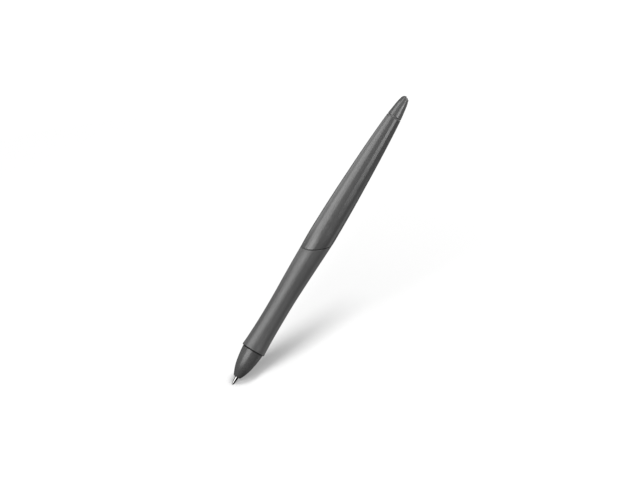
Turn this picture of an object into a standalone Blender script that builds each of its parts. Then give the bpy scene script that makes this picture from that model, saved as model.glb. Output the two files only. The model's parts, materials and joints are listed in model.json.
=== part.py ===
"""Battery-free inking pen for a drawing tablet: outer shells, ink refill, tip sensor and circuit.

The origin is the lowest point of the writing ball, and +Z runs along the pen's axis to the tail.
Front is towards the ball, rear towards the tail. The slanted seam between grip and rear barrel
rises towards +X, and the circuit's parts face +Y. Lengths are in millimetres, angles in degrees
unless noted, and MM turns lengths into metres.
"""

import math

import bmesh
import bpy
from mathutils import Matrix, Vector

MM = 0.001

# ---------------------------------------------------------------- shared dimensions
LENGTH = 157.0  # writing ball to tail
SHELL_SIDES = 32
PART_SIDES = 20
HOLE_SIDES = 12
TRIMMER_SIDES = 24
SHARP_ANGLE = 32.0  # edges that bend more than this are shaded sharp
FIT = 0.05  # between pieces that are pushed together

# ---------------------------------------------------------------- outer shape
# stations: (height along the pen, radius)
NOSE_SHAPE = (
    (4.3, 1.845), (5.6, 2.49), (7.5, 3.27), (9.3, 3.83), (11.2, 4.26),
    (13.1, 4.60), (14.9, 4.86), (16.8, 5.09), (18.7, 5.28),
)
GRIP_SHAPE = (
    (19.2, 5.83), (21.0, 5.69), (24.0, 5.53), (28.5, 5.375), (33.5, 5.28),
    (40.0, 5.25), (47.0, 5.32), (56.5, 5.61), (66.0, 5.90), (81.8, 6.36),
)
REAR_SHAPE = (
    (66.0, 5.90), (81.8, 6.36), (86.0, 6.30), (93.8, 6.16), (103.0, 5.89),
    (112.5, 5.51), (122.0, 5.09), (131.0, 4.60), (140.5, 3.95), (145.6, 3.54),
)
CAP_SHAPE = (
    (146.1, 3.48), (147.4, 3.32), (149.0, 3.10), (151.0, 2.83), (153.5, 2.42), (155.5, 1.91),
)

# heights at which the shells have a ring of vertices
NOSE_RINGS = (5.0, 6.1, 7.5, 9.3, 11.4, 13.8, 16.2)
GRIP_RINGS = (20.2, 22.0, 25.0, 29.0, 34.0, 40.0, 46.0, 52.0, 58.0, 64.0, 70.0)
REAR_RINGS = (81.8, 86.5, 93.0, 100.0, 107.0, 114.0, 121.0, 128.0, 134.5, 140.5)
CAP_RINGS = (147.6, 149.4, 151.4, 153.5)

NOSE_FRONT = 4.06
NOSE_CORNER = 0.45
NOSE_CORNER_CENTRE = 1.445  # radius of the corner arc's centre
STEP_Z = 18.7  # the grip's front ring
STEP_ROUND = 0.12

TAIL_SEAM = 145.85
TAIL_GAP = 0.2
TAIL_EDGE = 0.12  # chamfer on both sides of the tail seam
TAIL_RADIUS = 1.97
TAIL_SPIGOT_RADIUS = 2.60

# the slanted seam is the plane z = SEAM_Z + SEAM_SLOPE * x
SEAM_Z = 76.05
SEAM_SLOPE = 0.78
SEAM_GAP = 0.20  # along Z
SEAM_EDGE = 0.14
GRIP_BLANK_END = 82.6  # the sleeve's rear end before it is cut along the seam
REAR_BLANK_START = 70.0  # the rear barrel's front end before it is cut along the seam

# the grip's outside leans a little to one side around its middle
LEAN = 0.15
LEAN_TURN = math.radians(144.2)
LEAN_FROM, LEAN_TO = 30.0, 82.0
LEAN_MIN_RADIUS = 5.0

# ---------------------------------------------------------------- nose screw and front barrel
PITCH = 1.5
SPIGOT_CORE = 3.58
SPIGOT_CREST = 3.90
SPIGOT_END = 24.3
SOCKET_ROOT = 4.00
SOCKET_CREST = 3.68
RIDGE_BASE, RIDGE_TOP = 0.85, 0.45  # widths along Z
RIDGE_SINK = 0.1  # how far a ridge's base lies inside its wall
FADE_STEPS = 5  # steps in which a ridge grows at each end
FADE_HEIGHT = 0.12  # share of the full ridge at its very end
NOSE_THREAD = (20.2, 23.6)
BARREL_THREAD = (19.75, 23.3)

BARREL_FRONT = 19.2
NOSE_SHOULDER = BARREL_FRONT - 0.12  # the nose cone's rear face around its spigot
BARREL_REAR = 92.0
BARREL_BORE = 3.75
BARREL_THIN, BARREL_THICK = 4.60, 5.30
TAPER_FROM, TAPER_TO = 44.0, 70.0  # where the outside grows from thin to thick
BORE_STEP_Z = 92.4  # step in the rear barrel's bore behind the front barrel

# ---------------------------------------------------------------- ink refill
BALL = 0.40
BALL_SMOOTH = 60.0
SOCKET = 0.43
POINT_RIM = 0.274
POINT_SHOULDER = 5.6
INK_CHANNEL = 0.2
TUBE_BORE = 0.85
REFILL_RADIUS = 1.15
REFILL_END = 36.0
NOSE_BORE = 1.25

# ---------------------------------------------------------------- tip sensor
CUSHION_Z = 8.35
CORE_FRONT, CORE_REAR = 9.5, 23.5
CORE_RADIUS = 2.30
CORE_BORE = 1.32
CORE_CHAMFER = 0.2
COIL_FRONT, COIL_REAR = 10.6, 18.6
WINDING_SEAT = 2.34  # inner radius of winding and tape
COIL_RADIUS = 2.68
HOLDER_RADIUS = 3.62
HOLDER_END = 40.9
HOUSING_FRONT, HOUSING_REAR = 41.0, 50.6
HOUSING_BORE = 2.70

CUP_FRONT = 31.2
CUP_BORE = REFILL_RADIUS + FIT
STEM_END = 42.9
SLOT_HALF_WIDTH = 0.18
PAD_Z = STEM_END + FIT
SPACER_REAR = 44.0
DISC_FRONT = SPACER_REAR + FIT

SPRING_FRONT, SPRING_REAR = 36.42, HOLDER_END
SPRING_WIRE = 0.24  # diameter
SPRING_RADIUS = 2.25
SPRING_TURNS = 5.5
SPRING_STEPS_PER_TURN = 14
SPRING_END_PITCH = SPRING_WIRE + 0.03  # the first and the last turn

# ---------------------------------------------------------------- electronics
BOARD_FRONT, BOARD_REAR = 55.0, 120.0
BOARD_WIDTH = 5.6
BOARD_THICK = 0.8
COMPONENT_Y = BOARD_THICK / 2 + FIT  # underside of capacitors and trimmer
RAIL_END = 122.0
POST_END = 134.0
WINDOW_HALF_WIDTH = 2.1
WINDOWS = ((58.0, 85.5), (88.5, 117.0))  # (front, rear) of the openings below the board

GROOVE_HALF_WIDTH = 0.6
GROOVE_FLOOR = 3.12
SOLDER_X, SOLDER_Z = 1.6, 57.6
SOLDER_HOLE = 0.35
LEAD_RADIUS = 0.14
SENSOR_LEAD_Y = 0.62
SENSOR_LEAD_HOLE = 0.32
SENSOR_LEAD_STATIONS = (46.1, 51.0, 57.0, 60.5)

CHIP_LEGS = 4  # on each side
LEG_FIRST_Z = 64.6
LEG_PITCH = 1.27
LEG_HALF_WIDTH = 0.2
LEG_TOP = 1.15
CAPACITORS = (  # (name, x, z)
    ("chip_capacitor_a", -1.2, 76.0),
    ("chip_capacitor_b", 1.2, 76.0),
    ("chip_capacitor_c", 0.0, 84.0),
)
TRIMMER_Z = 104.0
ROTOR_Y = 1.7  # the rotor's middle
ROTOR_THICK = 0.8
ROTOR_RADIUS = 1.42
WELL_RADIUS = 1.5

# ---------------------------------------------------------------- finishes
# material: (base colour, roughness, metallic)
FINISHES = {
    "nose_plastic": ((0.105, 0.105, 0.108), 0.42, 0.0),
    "barrel_plastic": ((0.045, 0.045, 0.048), 0.5, 0.0),
    "grip_rubber": ((0.095, 0.095, 0.097), 0.55, 0.0),
    "rear_plastic": ((0.1, 0.1, 0.103), 0.45, 0.0),
    "tail_plastic": ((0.1, 0.1, 0.103), 0.4, 0.0),
    "ball_carbide": ((0.55, 0.55, 0.57), 0.12, 1.0),
    "point_metal": ((0.62, 0.61, 0.6), 0.16, 1.0),
    "tube_brass": ((0.62, 0.52, 0.32), 0.3, 1.0),
    "cushion_rubber": ((0.03, 0.03, 0.03), 0.7, 0.0),
    "ferrite": ((0.05, 0.047, 0.045), 0.55, 0.0),
    "copper_wire": ((0.7, 0.3, 0.16), 0.3, 1.0),
    "amber_tape": ((0.55, 0.25, 0.04), 0.35, 0.0),
    "holder_plastic": ((0.6, 0.6, 0.57), 0.5, 0.0),
    "cup_plastic": ((0.75, 0.75, 0.72), 0.45, 0.0),
    "spring_steel": ((0.5, 0.5, 0.5), 0.25, 1.0),
    "housing_plastic": ((0.07, 0.07, 0.075), 0.45, 0.0),
    "pad_rubber": ((0.04, 0.04, 0.04), 0.7, 0.0),
    "spacer_plastic": ((0.8, 0.78, 0.7), 0.5, 0.0),
    "disc_ceramic": ((0.75, 0.7, 0.6), 0.35, 0.0),
    "clip_metal": ((0.7, 0.66, 0.5), 0.3, 1.0),
    "chassis_plastic": ((0.16, 0.16, 0.17), 0.5, 0.0),
    "board_laminate": ((0.03, 0.2, 0.08), 0.35, 0.0),
    "chip_resin": ((0.02, 0.02, 0.022), 0.5, 0.0),
    "capacitor_ceramic": ((0.45, 0.35, 0.22), 0.45, 0.0),
    "trimmer_ceramic": ((0.7, 0.68, 0.62), 0.4, 0.0),
    "rotor_metal": ((0.72, 0.7, 0.62), 0.25, 1.0),
    "lead_enamel": ((0.6, 0.16, 0.05), 0.35, 0.6),
    "lead_tinned": ((0.6, 0.6, 0.6), 0.3, 1.0),
    "tail_rubber": ((0.05, 0.05, 0.05), 0.7, 0.0),
}


def finish(name):
    """The named material, made on first use."""
    if name in bpy.data.materials:
        return bpy.data.materials[name]
    colour, roughness, metallic = FINISHES[name]
    material = bpy.data.materials.new(name)
    material.use_nodes = True
    shader = material.node_tree.nodes["Principled BSDF"]
    shader.inputs["Base Color"].default_value = (*colour, 1.0)
    shader.inputs["Roughness"].default_value = roughness
    shader.inputs["Metallic"].default_value = metallic
    material.diffuse_color = (*colour, 1.0)
    return material


# ---------------------------------------------------------------- scene and objects
def clear_scene():
    for obj in list(bpy.data.objects):
        bpy.data.objects.remove(obj, do_unlink=True)
    for blocks in (bpy.data.meshes, bpy.data.curves, bpy.data.materials):
        for item in list(blocks):
            blocks.remove(item)


def world_location(obj):
    total = Vector((0.0, 0.0, 0.0))
    while obj:
        total += obj.location
        obj = obj.parent
    return total


def place(obj, location, parent):
    """Links an object under its parent, at a world location in millimetres."""
    bpy.context.scene.collection.objects.link(obj)
    obj.parent = parent
    obj.location = Vector(location) * MM - world_location(parent)


def joint(name, location, parent=None):
    """An empty on a joint's axis, which the pieces of one moving body hang from."""
    empty = bpy.data.objects.new(name, None)
    empty.empty_display_size = 0.003
    place(empty, location, parent)
    return empty


def add_piece(name, solid, location, parent, material, sharp_angle=SHARP_ANGLE):
    """Turns a bmesh, built around the given location, into a smooth-shaded object."""
    mesh = bpy.data.meshes.new(name)
    solid.to_mesh(mesh)
    solid.free()
    mesh.shade_smooth()
    mesh.set_sharp_from_angle(angle=math.radians(sharp_angle))
    mesh.materials.append(finish(material))
    obj = bpy.data.objects.new(name, mesh)
    place(obj, location, parent)
    return obj


def turned(name, profile, parent, material, sides=PART_SIDES, base_z=None):
    """A lathed piece with its origin on the axis, at its lowest point unless base_z is given."""
    if base_z is None:
        base_z = min(z for _, z in profile)
    return add_piece(name, lathed(profile, base_z, sides), (0, 0, base_z), parent, material)


def combine(obj, name, solid, operation):
    """Adds a Boolean with a hidden tool object, which hangs from the same parent."""
    mesh = bpy.data.meshes.new(name)
    bmesh.ops.recalc_face_normals(solid, faces=solid.faces)
    solid.to_mesh(mesh)
    solid.free()
    tool = bpy.data.objects.new(name, mesh)
    place(tool, (0, 0, 0), obj.parent)
    tool.hide_render = True
    tool.display_type = "WIRE"
    modifier = obj.modifiers.new(name, "BOOLEAN")
    modifier.operation = operation
    modifier.solver = "EXACT"
    modifier.object = tool


def cut(obj, name, *solids):
    for i, solid in enumerate(solids):
        combine(obj, f"{name}_{i}", solid, "DIFFERENCE")


def wire(name, points, radius, parent, material):
    """A round wire along a path of points, with closed ends and its origin at the first."""
    data = bpy.data.curves.new(name, "CURVE")
    data.dimensions = "3D"
    data.bevel_depth = radius * MM
    data.bevel_resolution = 1
    data.use_fill_caps = True
    data.materials.append(finish(material))
    origin = Vector(points[0])
    spline = data.splines.new("POLY")
    spline.points.add(len(points) - 1)
    for target, point in zip(spline.points, points):
        target.co = (*((Vector(point) - origin) * MM), 1.0)
    spline.use_smooth = True
    place(bpy.data.objects.new(name, data), points[0], parent)


# ---------------------------------------------------------------- shapes
def curve_through(stations):
    """A radius as a function of height: cubic pieces with matching slopes at the stations."""
    heights, radii = zip(*stations)
    last = len(stations) - 1
    rises = [(radii[i + 1] - radii[i]) / (heights[i + 1] - heights[i]) for i in range(last)]
    slopes = [rises[0]]
    for i in range(1, last):
        weight = (heights[i] - heights[i - 1]) / (heights[i + 1] - heights[i - 1])
        slopes.append(rises[i - 1] * (1 - weight) + rises[i] * weight)
    slopes.append(rises[-1])

    def radius(z):
        i = min(last - 1, sum(z >= height for height in heights[1:]))
        span = heights[i + 1] - heights[i]
        t = (z - heights[i]) / span
        return (
            (2 * t**3 - 3 * t**2 + 1) * radii[i]
            + (t**3 - 2 * t**2 + t) * slopes[i] * span
            + (3 * t**2 - 2 * t**3) * radii[i + 1]
            + (t**3 - t**2) * slopes[i + 1] * span
        )

    return radius


def arc(centre, radius, start, end, steps):
    """(radius, height) points on an arc, by angle in degrees from +r towards +z."""
    points = []
    for i in range(steps + 1):
        angle = math.radians(start + (end - start) * i / steps)
        points.append((centre[0] + radius * math.cos(angle), centre[1] + radius * math.sin(angle)))
    return points


def lathed(profile, base_z, sides):
    """A solid turned about Z from a closed profile of (radius, height) points."""
    solid = bmesh.new()
    points = [solid.verts.new((radius * MM, 0.0, (z - base_z) * MM)) for radius, z in profile]
    edges = []
    for i in range(len(profile)):
        following = (i + 1) % len(profile)
        # an edge along the axis would sweep no face
        if profile[i][0] > 0 or profile[following][0] > 0:
            edges.append(solid.edges.new((points[i], points[following])))
    bmesh.ops.spin(
        solid,
        geom=points + edges,
        cent=(0, 0, 0),
        axis=(0, 0, 1),
        angle=2 * math.pi,
        steps=sides,
        use_merge=True,
    )
    bmesh.ops.remove_doubles(solid, verts=solid.verts, dist=1e-7)
    bmesh.ops.recalc_face_normals(solid, faces=solid.faces)
    return solid


def ring_profile(inner, outer, front, rear):
    return [(inner, front), (outer, front), (outer, rear), (inner, rear)]


def box(low, high):
    """A box between two corners."""
    solid = bmesh.new()
    centre = [(start + end) / 2 * MM for start, end in zip(low, high)]
    size = [(end - start) * MM for start, end in zip(low, high)]
    matrix = Matrix.Translation(centre) @ Matrix.Diagonal((*size, 1.0))
    bmesh.ops.create_cube(solid, size=1.0, matrix=matrix)
    return solid


def rod(start, end, radius, sides):
    """A cylinder between two points."""
    solid = bmesh.new()
    start, end = Vector(start) * MM, Vector(end) * MM
    span = end - start
    turn = span.to_track_quat("Z", "Y").to_matrix().to_4x4()
    bmesh.ops.create_cone(
        solid,
        cap_ends=True,
        cap_tris=False,
        segments=sides,
        radius1=radius * MM,
        radius2=radius * MM,
        depth=span.length,
        matrix=Matrix.Translation((start + end) / 2) @ turn,
    )
    return solid


def ridge(base, crest, low, high, phase):
    """A right-hand helical thread ridge, trapezoid in section, that fades out at both ends."""
    solid = bmesh.new()
    steps = round((high - low) / PITCH * SHELL_SIDES)
    rings = []
    for i in range(steps + 1):
        angle = 2 * math.pi * i / SHELL_SIDES + phase
        middle = low + PITCH * i / SHELL_SIDES
        grown = min(1.0, i / FADE_STEPS, (steps - i) / FADE_STEPS)
        top = base + (crest - base) * (FADE_HEIGHT + (1 - FADE_HEIGHT) * grown)
        section = (
            (base, -RIDGE_BASE / 2),
            (top, -RIDGE_TOP / 2),
            (top, RIDGE_TOP / 2),
            (base, RIDGE_BASE / 2),
        )
        ring = []
        for radius, offset in section:
            x = radius * MM * math.cos(angle)
            y = radius * MM * math.sin(angle)
            ring.append(solid.verts.new((x, y, (middle + offset) * MM)))
        rings.append(ring)
    for ring, following in zip(rings, rings[1:]):
        for i in range(4):
            j = (i + 1) % 4
            solid.faces.new((ring[i], ring[j], following[j], following[i]))
    solid.faces.new(rings[0])
    solid.faces.new(rings[-1])
    return solid


def eased_path(corners, steps):
    """A path through corner points with each corner rounded by a quadratic arc."""
    corners = [Vector(corner) for corner in corners]
    path = [corners[0]]
    for before, corner, after in zip(corners, corners[1:], corners[2:]):
        # an arc starts 0.9 mm from its corner, or nearer on a short stretch
        start = corner.lerp(before, min(0.45, 0.9 / (corner - before).length))
        end = corner.lerp(after, min(0.45, 0.9 / (corner - after).length))
        for i in range(steps + 1):
            t = i / steps
            path.append(start * (1 - t) ** 2 + corner * 2 * t * (1 - t) + end * t**2)
    path.append(corners[-1])
    return path


def lead_groove(front, rear):
    """Cutter for the groove in which the coil leads run, along the +Y side."""
    return box((-GROOVE_HALF_WIDTH, GROOVE_FLOOR, front), (GROOVE_HALF_WIDTH, 6.0, rear))


# ---------------------------------------------------------------- shells
# profiles from here on are (radius, height) points
def nose_cone(parent):
    """Blunt front, ogive side, threaded spigot, and a cavity for coil and core."""
    nose_radius = curve_through(NOSE_SHAPE)
    corner = (NOSE_CORNER_CENTRE, NOSE_FRONT + NOSE_CORNER)
    profile = arc(corner, NOSE_CORNER, -90, -27.5, 3)
    profile += [(nose_radius(z), z) for z in (*NOSE_RINGS, STEP_Z)]
    profile += [
        (5.29, NOSE_SHOULDER),
        (SPIGOT_CORE, NOSE_SHOULDER),
        (SPIGOT_CORE, SPIGOT_END - 0.2),
        (SPIGOT_CORE - 0.2, SPIGOT_END),
        (2.95, SPIGOT_END),
        (2.95, 10.1),
        (2.47, 9.8),
        (2.47, 8.25),
        (NOSE_BORE + 0.02, 8.25),
        (NOSE_BORE, 4.35),
        (NOSE_BORE + 0.1, NOSE_FRONT),
    ]
    cone = turned("nose_cone", profile, parent, "nose_plastic", SHELL_SIDES)
    thread = ridge(SPIGOT_CORE - RIDGE_SINK, SPIGOT_CREST, *NOSE_THREAD, phase=0.0)
    combine(cone, "nose_thread", thread, "UNION")


def front_barrel(parent):
    """Carries the grip, and takes the nose cone in front and the rear barrel behind."""
    profile = [
        (BARREL_THICK, BARREL_FRONT),
        (BARREL_THICK, 19.95),
        (BARREL_THIN, 19.95),
        (BARREL_THIN, TAPER_FROM),
        (BARREL_THICK, TAPER_TO),
        (BARREL_THICK, BARREL_REAR - 0.3),
        (BARREL_THICK - 0.3, BARREL_REAR),
        (BARREL_BORE, BARREL_REAR),
        (BARREL_BORE, 25.0),
        (3.10, 25.0),
        (3.10, 24.6),
        (SOCKET_ROOT, 24.6),
        (SOCKET_ROOT, BARREL_FRONT + 0.12),
        (SOCKET_ROOT + 0.12, BARREL_FRONT),
    ]
    barrel = turned("front_barrel", profile, parent, "barrel_plastic", SHELL_SIDES)
    # the two ridges of the screw run half a pitch apart
    offset = 2 * math.pi * ((NOSE_THREAD[0] - BARREL_THREAD[0]) / PITCH + 0.5)
    thread = ridge(SOCKET_ROOT + RIDGE_SINK, SOCKET_CREST, *BARREL_THREAD, phase=-offset)
    combine(barrel, "barrel_thread", thread, "UNION")


def grip_sleeve(parent):
    """Soft sleeve over the front barrel; its front ring stands proud of the nose cone."""
    grip_radius = curve_through(GRIP_SHAPE)
    corner = (GRIP_SHAPE[0][1] - STEP_ROUND, STEP_Z + STEP_ROUND)
    profile = arc(corner, STEP_ROUND, -90, 0, 2)
    profile += [(grip_radius(z), z) for z in (*GRIP_RINGS, GRIP_BLANK_END)]
    profile += [
        (BARREL_THICK + FIT, GRIP_BLANK_END),
        (BARREL_THICK + FIT, TAPER_TO),
        (BARREL_THIN + FIT, TAPER_FROM),
        (BARREL_THIN + FIT, 20.0),
        (5.38, 20.0),
        (5.38, STEP_Z),
    ]
    solid = lathed(profile, STEP_Z, SHELL_SIDES)
    lean_outside(solid, STEP_Z)
    cut_along_seam(solid, STEP_Z, SEAM_Z - SEAM_GAP / 2, keep_below=True)
    add_piece("grip_sleeve", solid, (0, 0, STEP_Z), parent, "grip_rubber")


def rear_barrel(parent):
    """Slanted front edge, long taper to the tail seam, and a collar inside for the tail cap."""
    rear_radius = curve_through(REAR_SHAPE)
    end = TAIL_SEAM - TAIL_GAP / 2
    profile = [(rear_radius(z), z) for z in (REAR_BLANK_START, *REAR_RINGS, end - TAIL_EDGE)]
    profile += [
        (rear_radius(end) - TAIL_EDGE, end),
        (TAIL_SPIGOT_RADIUS + FIT, end),
        (TAIL_SPIGOT_RADIUS + FIT, 139.0),
        (3.00, 138.6),
        (3.35, 134.0),
        (4.15, 121.0),
        (4.90, 106.0),
        (4.90, BORE_STEP_Z),
        (BARREL_THICK + FIT, BORE_STEP_Z),
        (BARREL_THICK + FIT, REAR_BLANK_START),
    ]
    solid = lathed(profile, BORE_STEP_Z, SHELL_SIDES)
    cut_along_seam(solid, BORE_STEP_Z, SEAM_Z + SEAM_GAP / 2, keep_below=False)
    add_piece("rear_barrel", solid, (0, 0, BORE_STEP_Z), parent, "rear_plastic")


def tail_cap(parent):
    """Round-ended cone with a hollow spigot that plugs into the rear barrel."""
    cap_radius = curve_through(CAP_SHAPE)
    start = TAIL_SEAM + TAIL_GAP / 2
    profile = [(cap_radius(start) - TAIL_EDGE, start)]
    profile += [(cap_radius(z), z) for z in (start + TAIL_EDGE, *CAP_RINGS)]
    profile += arc((0.0, LENGTH - TAIL_RADIUS), TAIL_RADIUS, 14, 90, 5)
    profile[-1] = (0.0, LENGTH)  # exactly on the axis
    profile += [
        (0.0, 150.3),
        (1.6, 149.3),
        (1.6, 139.4),
        (TAIL_SPIGOT_RADIUS - 0.2, 139.4),
        (TAIL_SPIGOT_RADIUS, 139.7),
        (TAIL_SPIGOT_RADIUS, start),
    ]
    turned("tail_cap", profile, parent, "tail_plastic", SHELL_SIDES, base_z=start)


def sleeve_bore(z):
    """Radius of the grip's bore at a height, over the front barrel's taper."""
    t = min(1.0, max(0.0, (z - TAPER_FROM) / (TAPER_TO - TAPER_FROM)))
    return BARREL_THIN + FIT + (BARREL_THICK - BARREL_THIN) * t


def lean_outside(solid, base_z):
    """Moves the grip's outside a little sideways around its middle, and leaves its bore."""
    for vert in solid.verts:
        z = vert.co.z / MM + base_z
        radius = math.hypot(vert.co.x, vert.co.y) / MM
        outside = radius > LEAN_MIN_RADIUS and radius > sleeve_bore(z) + 0.2
        if LEAN_FROM < z < LEAN_TO and outside:
            t = (z - LEAN_FROM) / (LEAN_TO - LEAN_FROM)
            amount = LEAN * math.sin(math.pi * t) ** 2 * MM
            vert.co.x += amount * math.cos(LEAN_TURN)
            vert.co.y += amount * math.sin(LEAN_TURN)


def cut_along_seam(solid, base_z, height, keep_below):
    """Cuts a turned shell along the slanted seam, closes the cut, and rounds its outer edge."""
    bmesh.ops.bisect_plane(
        solid,
        geom=solid.verts[:] + solid.edges[:] + solid.faces[:],
        dist=1e-8,
        plane_co=(0.0, 0.0, (height - base_z) * MM),
        plane_no=Vector((-SEAM_SLOPE, 0.0, 1.0)).normalized(),
        clear_outer=keep_below,
        clear_inner=not keep_below,
    )
    rim = [edge for edge in solid.edges if edge.is_boundary]
    bmesh.ops.bridge_loops(solid, edges=rim)
    limit = (BARREL_THICK + 0.3) * MM
    outer = [
        edge for edge in rim
        if min(math.hypot(vert.co.x, vert.co.y) for vert in edge.verts) > limit
    ]
    bmesh.ops.bevel(
        solid,
        geom=outer,
        offset=SEAM_EDGE * MM,
        offset_type="OFFSET",
        segments=2,
        profile=0.5,
        affect="EDGES",
    )
    bmesh.ops.recalc_face_normals(solid, faces=solid.faces)


# ---------------------------------------------------------------- ink refill
def writing_ball(parent):
    solid = bmesh.new()
    bmesh.ops.create_uvsphere(
        solid,
        u_segments=16,
        v_segments=10,
        radius=BALL * MM,
        matrix=Matrix.Rotation(math.pi / 2, 4, "Y"),
    )
    add_piece("writing_ball", solid, (0, 0, BALL), parent, "ball_carbide", BALL_SMOOTH)


def refill_point(parent):
    """Rim curled over the ball, cone, shoulder, tail in the tube, ink channel and socket."""
    tail_radius = TUBE_BORE - FIT
    profile = [
        (0.47, POINT_RIM),
        (0.53, 0.42),
        (1.02, 4.5),
        (REFILL_RADIUS, 5.2),
        (REFILL_RADIUS, POINT_SHOULDER),
        (tail_radius, POINT_SHOULDER),
        (tail_radius, 7.9),
        (0.72, 8.0),
        (INK_CHANNEL, 8.0),
        (INK_CHANNEL, 0.8),
    ]
    profile += arc((0.0, BALL), SOCKET, 62, -17, 6)
    turned("refill_point", profile, parent, "point_metal")


def refill_tube(parent):
    front = POINT_SHOULDER + FIT
    profile = [
        (TUBE_BORE, front),
        (REFILL_RADIUS - 0.04, front),
        (REFILL_RADIUS, front + 0.04),
        (REFILL_RADIUS, REFILL_END - 0.1),
        (REFILL_RADIUS - 0.1, REFILL_END),
        (TUBE_BORE, REFILL_END),
    ]
    turned("refill_tube", profile, parent, "tube_brass")


# ---------------------------------------------------------------- tip sensor
def core_cushion(parent):
    """Rubber ring between nose cone and ferrite core."""
    profile = [
        (1.34, CUSHION_Z), (2.28, CUSHION_Z), (2.40, 8.5), (2.40, 9.2), (2.28, 9.35), (1.34, 9.35),
    ]
    turned("core_cushion", profile, parent, "cushion_rubber")


def ferrite_core(parent):
    profile = [
        (CORE_BORE, CORE_FRONT),
        (CORE_RADIUS - CORE_CHAMFER, CORE_FRONT),
        (CORE_RADIUS, CORE_FRONT + CORE_CHAMFER),
        (CORE_RADIUS, CORE_REAR - CORE_CHAMFER),
        (CORE_RADIUS - CORE_CHAMFER, CORE_REAR),
        (CORE_BORE, CORE_REAR),
    ]
    turned("ferrite_core", profile, parent, "ferrite")


def antenna_coil(parent):
    """Winding on the core, as one solid."""
    profile = [
        (WINDING_SEAT, COIL_FRONT),
        (COIL_RADIUS - 0.1, COIL_FRONT),
        (COIL_RADIUS, COIL_FRONT + 0.15),
        (COIL_RADIUS, COIL_REAR - 0.15),
        (COIL_RADIUS - 0.1, COIL_REAR),
        (WINDING_SEAT, COIL_REAR),
    ]
    turned("antenna_coil", profile, parent, "copper_wire")


def coil_tape(parent):
    """Tape band behind the winding, under the two leads."""
    turned("coil_tape", ring_profile(WINDING_SEAT, 2.40, 18.75, 21.3), parent, "amber_tape")


def core_holder(parent):
    """Holder behind the core: guides the refill and houses the carriage and its spring."""
    profile = [
        (2.40, 21.7),
        (2.80, 21.7),
        (2.80, 25.2),
        (HOLDER_RADIUS, 25.2),
        (HOLDER_RADIUS, HOLDER_END),
        (2.70, HOLDER_END),
        (2.70, 35.2),
        (2.25, 35.2),
        (2.25, 30.8),
        (1.45, 30.3),
        (1.45, 24.2),
        (1.75, 23.7),
        (2.40, 23.7),
    ]
    holder = turned("core_holder", profile, parent, "holder_plastic")
    cut(
        holder,
        "holder_groove",
        lead_groove(24.9, 42.0),
        # deeper front stretch, down to the level of the winding
        box((-GROOVE_HALF_WIDTH, 2.2, 21.0), (GROOVE_HALF_WIDTH, 6.5, 27.6)),
    )


def refill_holder(parent):
    """Slotted cup that grips the refill, with a flange for the spring and a stem to the pad."""
    profile = [
        (CUP_BORE, 31.4),
        (1.35, CUP_FRONT),
        (1.95, CUP_FRONT),
        (2.10, 31.5),
        (2.10, 35.3),
        (2.50, 35.3),
        (2.50, 36.3),
        (0.90, 36.3),
        (0.90, STEM_END - 0.15),
        (0.75, STEM_END),
        (0.0, STEM_END),
        (0.0, REFILL_END + FIT),
        (CUP_BORE, REFILL_END + FIT),
    ]
    cup = turned("refill_holder", profile, parent, "cup_plastic")
    cut(
        cup,
        "cup_slot",
        box((-SLOT_HALF_WIDTH, -3.0, 30.0), (SLOT_HALF_WIDTH, 3.0, 34.6)),
        box((-3.0, -SLOT_HALF_WIDTH, 30.0), (3.0, SLOT_HALF_WIDTH, 34.6)),
    )


def return_spring(parent):
    """Spring between the cup's flange and the sensor housing, with close first and last turns."""
    steps = int(SPRING_TURNS * SPRING_STEPS_PER_TURN)
    free_turns = SPRING_TURNS - 2
    free_length = SPRING_REAR - SPRING_FRONT - SPRING_WIRE - 2 * SPRING_END_PITCH
    free_pitch = free_length / free_turns
    points = []
    for i in range(steps + 1):
        turn = SPRING_TURNS * i / steps
        close_part = min(turn, 1.0) + max(turn - SPRING_TURNS + 1, 0.0)
        free_part = min(max(turn - 1, 0.0), free_turns)
        z = SPRING_FRONT + SPRING_WIRE / 2 + SPRING_END_PITCH * close_part + free_pitch * free_part
        angle = 2 * math.pi * turn
        points.append((SPRING_RADIUS * math.cos(angle), SPRING_RADIUS * math.sin(angle), z))
    wire("return_spring", points, SPRING_WIRE / 2, parent, "spring_steel")


def sensor_housing(parent):
    floor_rear = HOUSING_FRONT + 1.2
    profile = [
        (1.05, HOUSING_FRONT),
        (HOLDER_RADIUS, HOUSING_FRONT),
        (HOLDER_RADIUS, HOUSING_REAR),
        (HOUSING_BORE, HOUSING_REAR),
        (HOUSING_BORE, floor_rear),
        (1.05, floor_rear),
    ]
    housing = turned("sensor_housing", profile, parent, "housing_plastic")
    cut(housing, "housing_groove", lead_groove(40.0, 52.0))


def pressure_pad(parent):
    """Rubber pad on the stem, which the stem presses towards the ceramic disc."""
    profile = [
        (0.0, PAD_Z), (1.80, PAD_Z), (1.90, 43.05), (1.90, 43.25),
        (1.3, 43.44), (0.7, 43.54), (0.0, 43.58),
    ]
    turned("pressure_pad", profile, parent, "pad_rubber")


def spacer_ring(parent):
    """Ring that keeps pad and disc apart."""
    turned("spacer_ring", ring_profile(2.15, 2.62, 42.3, SPACER_REAR), parent, "spacer_plastic")


def dielectric_disc(parent):
    """Ceramic disc of the pressure capacitor."""
    profile = [
        (0.0, DISC_FRONT), (2.50, DISC_FRONT), (2.60, 44.15),
        (2.60, 44.75), (2.50, 44.85), (0.0, 44.85),
    ]
    turned("dielectric_disc", profile, parent, "disc_ceramic")


def contact_clip(parent):
    """Dished metal clip behind the disc."""
    profile = [
        (0.7, 45.75), (0.95, 45.75), (1.2, 45.6), (2.1, 44.95), (2.5, 44.95),
        (2.5, 45.15), (2.17, 45.15), (1.25, 45.82), (0.98, 45.97), (0.7, 45.97),
    ]
    turned("contact_clip", profile, parent, "clip_metal")


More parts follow.
